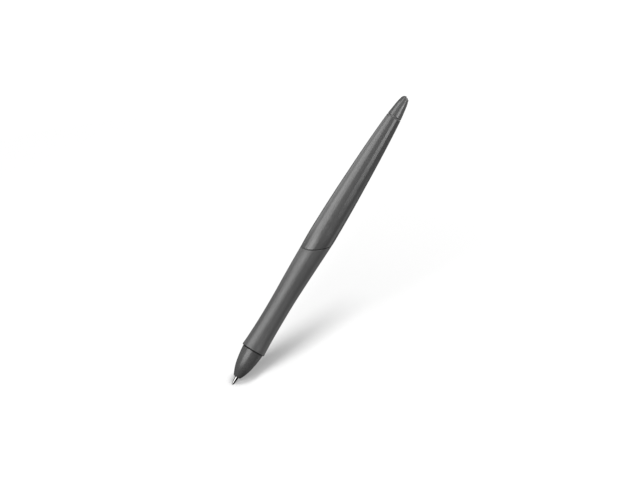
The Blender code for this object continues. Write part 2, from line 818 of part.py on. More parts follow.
# ---------------------------------------------------------------- electronics
def board_holder(parent):
    """Plug for the sensor housing, collar, railed trough, and a post to the tail cushion."""
    collar_front = HOUSING_REAR + 0.1
    profile = [
        (0.0, 46.4),
        (2.40, 46.4),
        (2.60, 46.6),
        (2.60, collar_front),
        (HOLDER_RADIUS, collar_front),
        (HOLDER_RADIUS, RAIL_END),
        (1.80, RAIL_END),
        (1.80, POST_END - 0.2),
        (1.60, POST_END),
        (0.0, POST_END),
    ]
    holder = turned("board_holder", profile, parent, "chassis_plastic")
    half = BOARD_WIDTH / 2 + 0.1
    trough = box((-half, -BOARD_THICK / 2 - FIT, BOARD_FRONT - 0.3), (half, 5.0, BOARD_REAR + 0.3))
    windows = [
        box((-WINDOW_HALF_WIDTH, -2.7, front), (WINDOW_HALF_WIDTH, 0.5, rear))
        for front, rear in WINDOWS
    ]
    lead_hole = rod(
        (0.0, SENSOR_LEAD_Y, 45.0), (0.0, SENSOR_LEAD_Y, 56.0), SENSOR_LEAD_HOLE, HOLE_SIDES
    )
    cut(holder, "chassis_cut", trough, *windows, lead_groove(49.0, 56.0), lead_hole)


def circuit_board(parent):
    """Board with two solder holes near its front."""
    half_width, half_thick = BOARD_WIDTH / 2, BOARD_THICK / 2
    solid = box((-half_width, -half_thick, BOARD_FRONT), (half_width, half_thick, BOARD_REAR))
    board = add_piece("circuit_board", solid, (0, 0, 0), parent, "board_laminate")
    holes = [
        rod((x, -2.0, SOLDER_Z), (x, 2.0, SOLDER_Z), SOLDER_HOLE, HOLE_SIDES)
        for x in (-SOLDER_X, SOLDER_X)
    ]
    cut(board, "board_hole", *holes)


def control_chip(parent):
    """Chip with legs bent down at both sides."""
    solid = box((-1.5, 0.55, 64.0), (1.5, 1.65, 69.0))
    chip = add_piece("control_chip", solid, (0, 0, 0), parent, "chip_resin")
    for i in range(CHIP_LEGS):
        middle = LEG_FIRST_Z + LEG_PITCH * i
        front, rear = middle - LEG_HALF_WIDTH, middle + LEG_HALF_WIDTH
        lead = box((-2.0, 0.95, front), (2.0, LEG_TOP, rear))
        combine(chip, f"chip_lead_{i}", lead, "UNION")
        for side in (-1, 1):
            left, right = sorted((side * 1.85, side * 2.05))
            leg = box((left, 0.5, front), (right, LEG_TOP, rear))
            combine(chip, f"chip_leg_{i}_{side + 1}", leg, "UNION")


def chip_capacitors(parent):
    """Chip capacitors of the resonant circuit, with bevelled edges."""
    for name, x, z in CAPACITORS:
        solid = box((-0.62, 0.0, -1.0), (0.62, 0.9, 1.0))
        obj = add_piece(name, solid, (x, COMPONENT_Y, z), parent, "capacitor_ceramic")
        rounding = obj.modifiers.new("rounding", "BEVEL")
        rounding.width = 0.08 * MM
        rounding.segments = 1


def trimmer_body(parent):
    """Body of the trimmer capacitor, with a round well."""
    solid = box((-1.9, 0.0, -2.3), (1.9, 1.7, 2.3))
    location = (0, COMPONENT_Y, TRIMMER_Z)
    body = add_piece("trimmer_body", solid, location, parent, "trimmer_ceramic")
    well = rod((0.0, 1.2, TRIMMER_Z), (0.0, 3.0, TRIMMER_Z), WELL_RADIUS, TRIMMER_SIDES)
    cut(body, "trimmer_well", well)


def trimmer_rotor(parent):
    """Slotted rotor that turns about the well's axis."""
    half = ROTOR_THICK / 2
    solid = rod((0.0, -half, 0.0), (0.0, half, 0.0), ROTOR_RADIUS, TRIMMER_SIDES)
    rotor = add_piece("trimmer_rotor", solid, (0.0, ROTOR_Y, TRIMMER_Z), parent, "rotor_metal")
    cut(rotor, "rotor_slot", box((-1.0, 1.8, TRIMMER_Z - 0.2), (1.0, 3.0, TRIMMER_Z + 0.2)))


def coil_leads(parent):
    """Two leads from the winding, along the groove, to the board's solder holes."""
    for name, side in (("coil_lead_a", -1), ("coil_lead_b", 1)):
        x = 0.22 * side
        corners = [
            (x, 2.60, 18.7),
            (x, 2.60, 25.3),
            (x, 3.40, 26.8),
            (x, 3.40, 54.6),
            (1.3 * side, 1.1, 56.2),
            (SOLDER_X * side, 0.95, SOLDER_Z),
            (SOLDER_X * side, 0.2, SOLDER_Z),
        ]
        wire(name, eased_path(corners, steps=3), LEAD_RADIUS, parent, "lead_enamel")


def sensor_lead(parent):
    """Straight lead from the clip to the board."""
    points = [(0.0, SENSOR_LEAD_Y, z) for z in SENSOR_LEAD_STATIONS]
    wire("sensor_lead", points, LEAD_RADIUS, parent, "lead_tinned")


def tail_cushion(parent):
    """Rubber cushion between the post and the tail cap."""
    profile = [
        (0.0, 134.15), (2.1, 134.15), (2.3, 134.35), (2.3, 138.9), (2.1, 139.15), (0.0, 139.15),
    ]
    turned("tail_cushion", profile, parent, "tail_rubber")


def main():
    clear_scene()
    pen = joint("pen", (0, 0, 0))
    barrel = joint("barrel", (0, 0, 0), pen)
    carriage = joint("tip_carriage", (0, 0, CUP_FRONT), barrel)
    refill = joint("refill", (0, 0, 0), carriage)
    ball = joint("ball", (0, 0, BALL), refill)
    cushion = joint("cushion", (0, 0, CUSHION_Z), barrel)
    nose = joint("nose", (0, 0, NOSE_FRONT), cushion)
    trimmer = joint("trimmer", (0, ROTOR_Y, TRIMMER_Z), barrel)

    bodies = (
        (nose, (nose_cone,)),
        (cushion, (core_cushion,)),
        (ball, (writing_ball,)),
        (refill, (refill_point, refill_tube)),
        (carriage, (refill_holder, pressure_pad)),
        (trimmer, (trimmer_rotor,)),
        (barrel, (
            front_barrel, grip_sleeve, rear_barrel, tail_cap,
            ferrite_core, antenna_coil, coil_tape, core_holder, return_spring,
            sensor_housing, spacer_ring, dielectric_disc, contact_clip,
            board_holder, circuit_board, control_chip, chip_capacitors, trimmer_body,
            coil_leads, sensor_lead, tail_cushion,
        )),
    )
    for body, pieces in bodies:
        for build in pieces:
            build(body)
    bpy.context.view_layer.update()


main()
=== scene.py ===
"""A tablet pen on its CAD frame: outer shells, refill, wires, looks, lights, floor and camera.

The pen stands on its writing tip at the origin, its axis along +Z and its tail at the top.
Shapes and textures are written in millimetres, and MM turns them into metres.
"""

import json
import math

import bmesh
import bpy
from mathutils import Matrix, Vector


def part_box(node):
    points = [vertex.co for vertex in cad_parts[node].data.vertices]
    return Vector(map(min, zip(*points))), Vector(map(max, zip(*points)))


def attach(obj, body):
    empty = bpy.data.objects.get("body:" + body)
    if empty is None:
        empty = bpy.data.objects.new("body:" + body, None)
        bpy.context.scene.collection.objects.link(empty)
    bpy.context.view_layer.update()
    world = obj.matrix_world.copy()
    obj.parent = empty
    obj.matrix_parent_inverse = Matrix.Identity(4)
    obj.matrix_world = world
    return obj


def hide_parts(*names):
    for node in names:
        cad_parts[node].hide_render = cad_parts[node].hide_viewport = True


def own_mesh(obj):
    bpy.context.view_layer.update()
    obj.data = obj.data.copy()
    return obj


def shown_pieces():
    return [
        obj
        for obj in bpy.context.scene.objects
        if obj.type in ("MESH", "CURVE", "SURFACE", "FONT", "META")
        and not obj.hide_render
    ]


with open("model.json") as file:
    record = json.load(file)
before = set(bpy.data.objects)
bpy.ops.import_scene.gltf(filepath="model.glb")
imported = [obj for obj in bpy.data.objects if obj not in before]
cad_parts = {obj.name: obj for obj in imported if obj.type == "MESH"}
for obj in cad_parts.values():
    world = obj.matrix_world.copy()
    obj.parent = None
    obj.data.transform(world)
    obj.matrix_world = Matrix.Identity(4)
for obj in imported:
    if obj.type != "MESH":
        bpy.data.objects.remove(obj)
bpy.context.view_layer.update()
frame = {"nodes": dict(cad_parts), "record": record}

MM = 0.001
SIDES = 144  # round the outer shells
REFILL_SIDES = 96

# ---------------------------------------------------------------- dimensions (millimetres)
# outlines of the outer shells: (height, radius)
NOSE_SHAPE = (
    (4.3, 1.845), (5.6, 2.49), (7.5, 3.27), (9.3, 3.83), (11.2, 4.26),
    (13.1, 4.60), (14.9, 4.86), (16.8, 5.09), (18.7, 5.28),
)
GRIP_SHAPE = (
    (19.2, 5.83), (21.0, 5.69), (24.0, 5.53), (28.5, 5.375), (33.5, 5.28),
    (40.0, 5.25), (47.0, 5.32), (56.5, 5.61), (66.0, 5.90), (81.8, 6.36),
)
REAR_SHAPE = (
    (66.0, 5.90), (81.8, 6.36), (86.0, 6.30), (93.8, 6.16), (103.0, 5.89),
    (112.5, 5.51), (122.0, 5.09), (131.0, 4.60), (140.5, 3.95), (145.6, 3.54),
)
CAP_SHAPE = (
    (146.1, 3.48), (147.4, 3.32), (149.0, 3.10), (151.0, 2.83), (153.5, 2.42), (155.5, 1.91),
)
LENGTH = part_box("tail_cap")[1].z / MM
STEP_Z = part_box("grip_sleeve")[0].z / MM  # front of the grip
NOSE_FRONT, NOSE_RIM, NECK = 4.06, STEP_Z - 0.22, 4.6  # two heights and the neck's radius

# screw thread on the nose cone's spigot
PITCH, SPIGOT_CORE, SPIGOT_CREST = 1.5, 3.58, 3.90
THREAD_FROM, THREAD_TO = 20.2, 23.6
THREAD_FADE = 5 / 32  # turns over which each end of the thread grows
CREST_HALF, FLANK = 0.215, 0.21

# slanted seam between grip and rear barrel
SEAM_Z, SEAM_SLOPE, SEAM_GAP, SEAM_EDGE = 76.05, 0.78, 0.32, 0.15
TONGUE_REACH = SEAM_GAP - 0.03
SHELL_BORE = 5.35
VIEW_LEFT = (-0.811, 0.585)  # x and y towards the main view's left: there the painted shade in the seam fades and the grip carries a painted shade patch

# sideways lean of the grip: distance, direction and the heights it runs between
LEAN, LEAN_TURN, LEAN_FROM, LEAN_TO = 0.15, math.radians(144.2), 30.0, 82.0

TAIL_SEAM, TAIL_GAP, TAIL_EDGE, TAIL_RADIUS = 145.85, 0.2, 0.13, 1.97
BALL_RADIUS = 0.4
TUBE_FROM, TUBE_TO, TUBE_RADIUS, TUBE_BORE = 5.65, 36.0, 1.15, 0.85
SPRING_TOP, SPRING_LENGTH, SPRING_TRAVEL = 40.9, 4.48, 0.4


# ---------------------------------------------------------------- shape helpers
def curve_through(stations):
    """A function of height that runs smoothly through the (height, radius) stations."""
    heights, radii = zip(*stations)
    last = len(stations) - 1

    def chord(i):
        return (radii[i + 1] - radii[i]) / (heights[i + 1] - heights[i])

    def slope(i):
        if i == 0:
            return chord(0)
        if i == last:
            return chord(last - 1)
        share = (heights[i] - heights[i - 1]) / (heights[i + 1] - heights[i - 1])
        return chord(i - 1) * (1 - share) + chord(i) * share

    def radius(z):
        i = max(0, min(last - 1, sum(z >= height for height in heights[1:])))
        step = heights[i + 1] - heights[i]
        share = (z - heights[i]) / step
        square, cube = share**2, share**3
        return (
            (2 * cube - 3 * square + 1) * radii[i]
            + (cube - 2 * square + share) * slope(i) * step
            + (3 * square - 2 * cube) * radii[i + 1]
            + (cube - square) * slope(i + 1) * step
        )

    return radius


nose_radius, grip_radius, rear_radius, cap_radius = map(
    curve_through, (NOSE_SHAPE, GRIP_SHAPE, REAR_SHAPE, CAP_SHAPE)
)


def arc(centre, radius, start, end, steps):
    """(radius, height) points on an arc, by angle in degrees from outwards towards +Z."""
    angles = [math.radians(start + (end - start) * i / steps) for i in range(steps + 1)]
    return [
        (centre[0] + radius * math.cos(angle), centre[1] + radius * math.sin(angle))
        for angle in angles
    ]


def span(low, high, step):
    """Evenly spaced heights from low to high, both included."""
    count = max(1, round((high - low) / step))
    return [low + (high - low) * i / count for i in range(count + 1)]


def around(sides=SIDES):
    return [2 * math.pi * k / sides for k in range(sides)]


def polar(radius, angle, z):
    return radius * math.cos(angle), radius * math.sin(angle), z


def ring(radius, z, sides=SIDES):
    if radius <= 0:
        return [(0.0, 0.0, z)]
    return [polar(radius, angle, z) for angle in around(sides)]


def bake(name, bm, sharp):
    mesh = bpy.data.meshes.new(name)
    bm.to_mesh(mesh)
    bm.free()
    mesh.shade_smooth()
    mesh.set_sharp_from_angle(angle=math.radians(sharp))
    obj = bpy.data.objects.new(name, mesh)
    bpy.context.scene.collection.objects.link(obj)
    return obj


def skin(name, rings, sharp=30.0):
    """A closed mesh from rings that follow the wall's section all the way round.

    A ring of one point is a pole.
    """
    bm = bmesh.new()
    made = [[bm.verts.new([c * MM for c in point]) for point in points] for points in rings]
    for here, there in zip(made, made[1:] + made[:1]):
        if len(here) == 1 and len(there) == 1:
            continue
        sides = max(len(here), len(there))
        for k in range(sides):
            after = (k + 1) % sides
            if len(here) == 1:
                bm.faces.new((here[0], there[after], there[k]))
            elif len(there) == 1:
                bm.faces.new((here[k], here[after], there[0]))
            else:
                bm.faces.new((here[k], here[after], there[after], there[k]))
    return bake(name, bm, sharp)


def turned(name, profile, sides=SIDES):
    """A lathed piece from a closed (radius, height) profile."""
    return skin(name, [ring(radius, z, sides) for radius, z in profile])


# ---------------------------------------------------------------- material helpers
def principled(name):
    """A new material and its Principled shader."""
    material = bpy.data.materials.new(name)
    material.use_nodes = True
    shader = next(n for n in material.node_tree.nodes if n.type == "BSDF_PRINCIPLED")
    return material, shader


def shade(colour, factor):
    return tuple(min(1.0, c * factor) for c in colour)


class Nodes:
    """Short calls that add nodes to a tree. Any value may be a number or another node's output."""

    def __init__(self, tree):
        self.tree = tree

    def node(self, kind, inputs=None, **settings):
        node = self.tree.nodes.new(kind)
        for key, value in settings.items():
            setattr(node, key, value)
        for key, value in (inputs or {}).items():
            self.feed(node.inputs[key], value)
        return node

    def feed(self, socket, value):
        if isinstance(value, bpy.types.NodeSocket):
            self.tree.links.new(value, socket)
        elif socket.type == "RGBA" and len(value) == 3:
            socket.default_value = (*value, 1.0)
        else:
            socket.default_value = value

    def math(self, operation, *values, clamp=False):
        inputs = dict(enumerate(values))
        return self.node("ShaderNodeMath", inputs, operation=operation, use_clamp=clamp).outputs[0]

    def add(self, first, second, clamp=False):
        return self.math("ADD", first, second, clamp=clamp)

    def times(self, first, second):
        return self.math("MULTIPLY", first, second)

    def off(self, value, centre):
        """How far a value is from a centre, either way."""
        return self.math("ABSOLUTE", self.math("SUBTRACT", value, centre))

    def length(self, vector):
        node = self.node("ShaderNodeVectorMath", {0: vector}, operation="LENGTH")
        return node.outputs["Value"]

    def combine(self, first, second):
        return self.node("ShaderNodeCombineXYZ", {0: first, 1: second, 2: 0.0}).outputs[0]

    def range(self, value, between=(0.3, 0.7), to=(0.0, 1.0), smooth=True):
        """Carries the stretch between two values over to another, held at both ends."""
        inputs = {
            "Value": value,
            "From Min": between[0],
            "From Max": between[1],
            "To Min": to[0],
            "To Max": to[1],
        }
        kind = "SMOOTHSTEP" if smooth else "LINEAR"
        node = self.node("ShaderNodeMapRange", inputs, interpolation_type=kind)
        return node.outputs["Result"]

    def fade(self, value, start, end):
        """1 up to start, 0 from end on."""
        return self.range(value, (start, end), to=(1.0, 0.0))

    def mix(self, amount, low, high):
        node = self.node("ShaderNodeMix", {0: amount}, data_type="RGBA")
        sockets = [s for s in node.inputs if s.type == "RGBA"]
        for socket, colour in zip(sockets, (low, high)):
            self.feed(socket, colour)
        return next(s for s in node.outputs if s.type == "RGBA")

    def tones(self, amount, colour, dark=0.5, pale=1.5):
        """The colour from a darker to a paler shade."""
        return self.mix(amount, shade(colour, dark), shade(colour, pale))


class Look(Nodes):
    """A Principled material. Lengths in its textures are millimetres on the object."""

    def __init__(self, name):
        self.material, self.shader = principled(name)
        super().__init__(self.material.node_tree)
        coords = self.node("ShaderNodeTexCoord").outputs["Object"]
        inputs = {0: coords, "Scale": 1 / MM}
        self.place = self.node("ShaderNodeVectorMath", inputs, operation="SCALE").outputs[0]

    def stretched(self, x, y, z):
        inputs = {0: self.place, 1: (x, y, z)}
        return self.node("ShaderNodeVectorMath", inputs, operation="MULTIPLY").outputs[0]

    def split(self):
        return self.node("ShaderNodeSeparateXYZ", {0: self.place}).outputs

    def noise(self, size, detail=3.0, vector=None, rough=0.55):
        """Noise whose blotches are about size across, 0 to 1."""
        inputs = {
            "Vector": vector or self.place,
            "Scale": 1.0 / size,
            "Detail": detail,
            "Roughness": rough,
        }
        return self.node("ShaderNodeTexNoise", inputs).outputs["Fac"]

    def cells(self, size, feature="F1"):
        inputs = {"Vector": self.place, "Scale": 1.0 / size, "Randomness": 1.0}
        return self.node("ShaderNodeTexVoronoi", inputs, feature=feature).outputs["Distance"]

    def wave(self, scale, distortion, direction):
        inputs = {"Vector": self.place, "Scale": scale, "Distortion": distortion}
        node = self.node("ShaderNodeTexWave", inputs, bands_direction=direction)
        return node.outputs["Fac"]

    def bump(self, height, distance, base=None):
        """Height 0 to 1 stands distance proud, on top of another bump if there is one."""
        inputs = {"Height": height, "Distance": distance * MM, "Strength": 1.0}
        if base is not None:
            inputs["Normal"] = base
        return self.node("ShaderNodeBump", inputs).outputs["Normal"]

    def finish(self, **inputs):
        for key, value in inputs.items():
            self.feed(self.shader.inputs[key.replace("_", " ")], value)
        return self.material


# ---------------------------------------------------------------- materials
# dark colour painted into gaps and recesses as shade
PAINTED_SHADE = (0.012, 0.012, 0.012)


def paint_shade(look, base, specular, near):
    """Painted shade: dark colour where near is 1, with hardly any gloss."""
    gloss = look.range(near, (0.0, 1.0), to=(specular, 0.03), smooth=False)
    return look.mix(near, base, PAINTED_SHADE), gloss


# distance towards the main view's left, used to place painted shade
def toward_view_left(look, x, y):
    return look.add(look.times(x, VIEW_LEFT[0]), look.times(y, VIEW_LEFT[1]))


def seam_shade(look, side):
    """Mask of painted shade: 1 in the slanted seam's gap and on the inner half of its edges, less
    towards the main view's left, where the lamps light the gap.
    """
    x, y, z = look.split()
    plane = look.add(look.times(x, SEAM_SLOPE), SEAM_Z)
    away = look.times(look.math("SUBTRACT", z, plane), float(side))
    near = look.fade(away, SEAM_GAP / 2 + 0.02, SEAM_GAP / 2 + 0.12)
    return look.times(near, look.range(toward_view_left(look, x, y), (1.4, 3.6), to=(1.0, 0.15)))


def mottled(look, colour, cloud, cloud_tone, speck, speck_tone):
    """The colour with soft clouds and fine specks, paler on rubbed edges."""
    tone = look.add(
        look.range(cloud, to=(-cloud_tone, cloud_tone)),
        look.range(speck, (0.25, 0.75), to=(-speck_tone, speck_tone)),
    )
    pointed = look.node("ShaderNodeNewGeometry").outputs["Pointiness"]
    edge = look.range(pointed, (0.53, 0.62), to=(0.0, 0.10))
    return look.tones(look.add(look.add(tone, edge), 0.5, clamp=True), colour)


def grained(look, grain, cell_share, fine_size, fine_share):
    """Height of a pebbled skin: soft cells with finer noise over them."""
    return look.add(
        look.times(look.cells(grain, "SMOOTH_F1"), cell_share),
        look.times(look.noise(size=fine_size, detail=2.0), fine_share),
    )


def moulded(name, colour, rough, grain=0.16, specular=0.5, parting=None, rim=None, seam=None):
    """Moulded plastic with a fine eroded texture and faint flow and handling marks.

    Painted shade darkens the recess behind a rim at one height, or the gap beside the slanted
    seam.
    """
    look = Look(name)
    flow = look.noise(size=9.0, detail=2.0, vector=look.stretched(1.0, 1.0, 0.35))
    speck = look.noise(size=0.5, detail=4.0)
    base = mottled(look, colour, flow, 0.022, speck, 0.03)
    roughness = look.add(
        look.range(look.noise(size=4.0), (0.3, 0.72), to=(rough + 0.04, rough - 0.04)),
        look.range(speck, to=(-0.02, 0.02)),
    )
    eroded = grained(look, grain, cell_share=0.6, fine_size=grain * 0.6, fine_share=0.6)
    normal = look.bump(eroded, distance=0.004)
    if parting is not None:
        # the mould's parting line, a hair proud on two opposite sides
        x, y, _ = look.split()
        across = look.off(look.times(x, math.cos(parting)), look.times(y, -math.sin(parting)))
        normal = look.bump(look.fade(across, 0.03, 0.10), distance=0.006, base=normal)
    if rim is not None:
        # painted shade: darkens the recess behind the rim, up to the spigot
        past_rim = look.range(look.split()[2], (rim - 0.08, rim))
        near = look.times(past_rim, look.fade(look.split()[2], 18.98, 19.1))
        base, specular = paint_shade(look, base, specular, near)
    # painted shade in the slanted seam's gap
    if seam is not None:
        base, specular = paint_shade(look, base, specular, seam_shade(look, seam))
    return look.finish(
        Base_Color=base, Roughness=roughness, Specular_IOR_Level=specular, Normal=normal
    )


def grip_shade(look, base, specular, heights):
    """Painted shade on the grip: a darker, duller patch on the flank towards the main view's left,
    and painted shade in the step at its front and the seam at its rear, with gloss that changes
    between two heights.
    """
    x, y, z = look.split()
    leftward = toward_view_left(look, x, y)
    # painted shade: the flank towards the main view's left is darker and duller
    shaded_patch = look.times(look.range(leftward, (2.9, 4.6)), look.fade(z, 32.0, 66.0))
    base = look.mix(look.times(shaded_patch, 0.45), base, (0.02, 0.02, 0.02))
    gloss = look.range(z, heights, to=(specular * 1.12, specular * 1.1))
    gloss = look.times(gloss, look.range(shaded_patch, (0.0, 1.0), to=(1.0, 0.62), smooth=False))
    # painted shade in the step at the grip's front and in the slanted seam
    front = look.fade(z, STEP_Z + 0.26, STEP_Z + 0.42)
    near = look.math("MAXIMUM", front, seam_shade(look, -1))
    base = look.mix(near, base, PAINTED_SHADE)
    return base, look.times(gloss, look.range(near, (0.0, 1.0), to=(1.0, 0.08), smooth=False))


def rubber(name, colour, rough, gloss_heights=None):
    """Soft-touch rubber: pebbled skin, dull sheen, hand-polished in patches.

    The last argument, a pair of heights, is where the grip's gloss changes; giving it also brings
    in the grip's painted shade.
    """
    look = Look(name)
    grain, specular = 0.22, 0.4
    fine = look.noise(size=0.35, detail=4.0)
    base = mottled(look, colour, look.noise(size=7.0), 0.025, fine, 0.035)
    hand = look.noise(size=5.0, detail=2.0, vector=look.stretched(1.0, 1.0, 0.6))
    roughness = look.add(
        look.range(hand, (0.35, 0.7), to=(rough + 0.03, rough - 0.05)),
        look.range(fine, to=(-0.02, 0.02)),
    )
    pebble = grained(look, grain, cell_share=0.7, fine_size=grain * 0.5, fine_share=0.4)
    if gloss_heights is not None:
        base, specular = grip_shade(look, base, specular, gloss_heights)
    return look.finish(
        Base_Color=base,
        Roughness=roughness,
        Specular_IOR_Level=specular,
        Sheen_Weight=0.08,
        Sheen_Roughness=0.5,
        Normal=look.bump(pebble, distance=0.006),
    )


def turned_metal(name, colour, rough, mark=0.09, depth=0.0008, tint=0.06):
    """Lathe-turned metal: fine rings round Z, slight staining."""
    look = Look(name)
    rings = look.noise(size=mark, vector=look.stretched(0.0, 0.0, 1.0), rough=0.5)
    stain = look.noise(size=1.2)
    roughness = look.add(
        look.range(stain, (0.3, 0.75), to=(rough - 0.02, rough + 0.05)),
        look.range(rings, (0.35, 0.65), to=(-0.03, 0.03)),
    )
    return look.finish(
        Base_Color=look.tones(look.range(stain, to=(0.5 - tint, 0.5 + tint)), colour),
        Metallic=1.0,
        Roughness=roughness,
        Normal=look.bump(rings, depth),
    )


def enamel_wire(name, colour, rough=0.28, metallic=0.85):
    """Lacquered wire: metal under a thin clear coat, drawn lines and small colour changes."""
    look = Look(name)
    blotch = look.range(look.noise(size=0.8), to=(0.38, 0.62))
    drawn = look.noise(size=0.06, detail=2.0)
    return look.finish(
        Base_Color=look.tones(blotch, colour, dark=0.55, pale=1.4),
        Metallic=metallic,
        Roughness=look.range(drawn, to=(rough - 0.05, rough + 0.07)),
        Coat_Weight=0.5,
        Coat_Roughness=0.12,
        Normal=look.bump(drawn, distance=0.001),
    )


def sintered(name, colour, rough, fleck=0.12):
    """Pressed and fired ceramic or ferrite: grainy, with small dark and pale flecks."""
    look = Look(name)
    grains = look.cells(size=0.12)
    cloud = look.noise(size=1.5, detail=4.0)
    tone = look.add(
        look.range(grains, (0.05, 0.6), to=(-fleck, fleck)),
        look.range(cloud, to=(-fleck / 2, fleck / 2)),
    )
    return look.finish(
        Base_Color=look.tones(look.add(tone, 0.5, clamp=True), colour),
        Roughness=look.range(cloud, to=(rough - 0.06, rough + 0.06)),
        Normal=look.bump(grains, distance=0.004),
    )


def tape(name, colour):
    """Amber film tape: clear coat, weave of the core showing through, a few creases."""
    look = Look(name)
    crease = look.noise(size=1.4, detail=5.0, vector=look.stretched(1.0, 1.0, 0.3))
    weave = look.wave(scale=1.6, distortion=0.6, direction="Z")
    tone = look.add(
        look.range(weave, (0.2, 0.8), to=(0.4, 0.55)),
        look.range(crease, (0.4, 0.7), to=(-0.08, 0.08)),
        clamp=True,
    )
    return look.finish(
        Base_Color=look.tones(tone, colour, dark=0.55),
        Roughness=look.range(crease, to=(0.25, 0.42)),
        Coat_Weight=0.6,
        Coat_Roughness=0.1,
        Normal=look.bump(crease, distance=0.02),
    )


def solder_pads(look, x, z):
    """1 on two rows of pads beside the chip and on one pad at each lead hole."""
    row = look.fade(look.off(look.math("ABSOLUTE", x), 2.1), 0.28, 0.36)
    steps = look.math("DIVIDE", look.math("SUBTRACT", z, 63.965), 1.27)
    pad = look.fade(look.off(look.math("FRACT", steps), 0.5), 0.2, 0.26)
    inside = look.times(look.math("GREATER_THAN", z, 64.0), look.math("LESS_THAN", z, 69.0))
    rows = look.times(look.times(row, pad), inside)
    from_hole = look.combine(
        look.math("SUBTRACT", look.math("ABSOLUTE", x), 1.6), look.math("SUBTRACT", z, 57.6)
    )
    return look.math("MAXIMUM", rows, look.fade(look.length(from_hole), 0.62, 0.7))


def laminate(name, colour):
    """Circuit board: solder mask over copper tracks, tinned pads, pale cut edges."""
    look = Look(name)
    x, y, z = look.split()
    pattern = {
        "Vector": look.combine(z, x),
        "Scale": 1.0,
        "Brick Width": 6.5,
        "Row Height": 0.55,
        "Mortar Size": 0.09,
        "Mortar Smooth": 0.3,
    }
    tracks = look.node(
        "ShaderNodeTexBrick", pattern, offset=0.37, squash=0.8, squash_frequency=3
    ).outputs["Fac"]
    mask = look.noise(size=3.0)
    green = look.tones(look.range(mask, to=(0.3, 0.7)), colour, dark=0.75, pale=1.2)
    base = look.mix(tracks, green, shade(colour, 2.1))
    face = look.math("GREATER_THAN", look.math("ABSOLUTE", y), 0.39)
    base = look.mix(face, (0.42, 0.38, 0.2), base)
    pads = solder_pads(look, x, z)
    weave = look.wave(scale=2.0, distortion=0.3, direction="DIAGONAL")
    return look.finish(
        Base_Color=look.mix(pads, base, (0.55, 0.55, 0.53)),
        Metallic=pads,
        Roughness=look.range(mask, to=(0.3, 0.42)),
        Normal=look.bump(look.add(tracks, look.times(weave, 0.15)), distance=0.02),
    )


def chip_resin(name, colour):
    """Moulded epoxy body with tinned legs, a pin-one dimple and a dull eroded top."""
    look = Look(name)
    x, _, z = look.split()
    legs = look.math("GREATER_THAN", look.math("ABSOLUTE", x), 1.51)
    grain = look.noise(size=0.09)
    from_dimple = look.combine(look.math("SUBTRACT", x, 0.95), look.math("SUBTRACT", z, 64.6))
    well = look.range(look.length(from_dimple), (0.2, 0.28))
    resin = look.tones(look.range(grain, to=(0.3, 0.7)), colour, dark=0.7, pale=2.0)
    return look.finish(
        Base_Color=look.mix(legs, resin, (0.6, 0.6, 0.58)),
        Metallic=legs,
        Roughness=look.add(look.range(grain, to=(0.5, 0.62)), look.times(legs, -0.28)),
        Normal=look.bump(look.add(well, look.times(grain, 0.1)), distance=0.05),
    )


def chip_capacitor(name, colour, centre):
    """Layered ceramic body between two tinned ends."""
    look = Look(name)
    ends = look.range(look.off(look.split()[2], centre), (0.62, 0.66))
    grain = look.noise(size=0.12)
    body = look.tones(look.range(grain, to=(0.3, 0.7)), colour, dark=0.8, pale=1.2)
    return look.finish(
        Base_Color=look.mix(ends, body, (0.58, 0.57, 0.55)),
        Metallic=ends,
        Roughness=look.range(grain, to=(0.3, 0.45)),
        Normal=look.bump(look.add(ends, look.times(grain, 0.2)), distance=0.012),
    )


def polished_ball(name, colour):
    """Sintered carbide, ground and polished, with fine pores."""
    look = Look(name)
    pores = look.cells(size=0.05)
    tone = look.range(pores, (0.0, 0.3), to=(0.35, 0.6))
    return look.finish(
        Base_Color=look.tones(tone, colour, dark=0.6, pale=1.3),
        Metallic=1.0,
        Roughness=look.range(pores, (0.0, 0.5), to=(0.16, 0.09)),
        Normal=look.bump(pores, distance=0.0004),
    )


PEN_GREY = (0.06, 0.06, 0.06)
NOSE_LOOK = dict(rough=0.27, parting=math.radians(20), rim=NOSE_RIM)
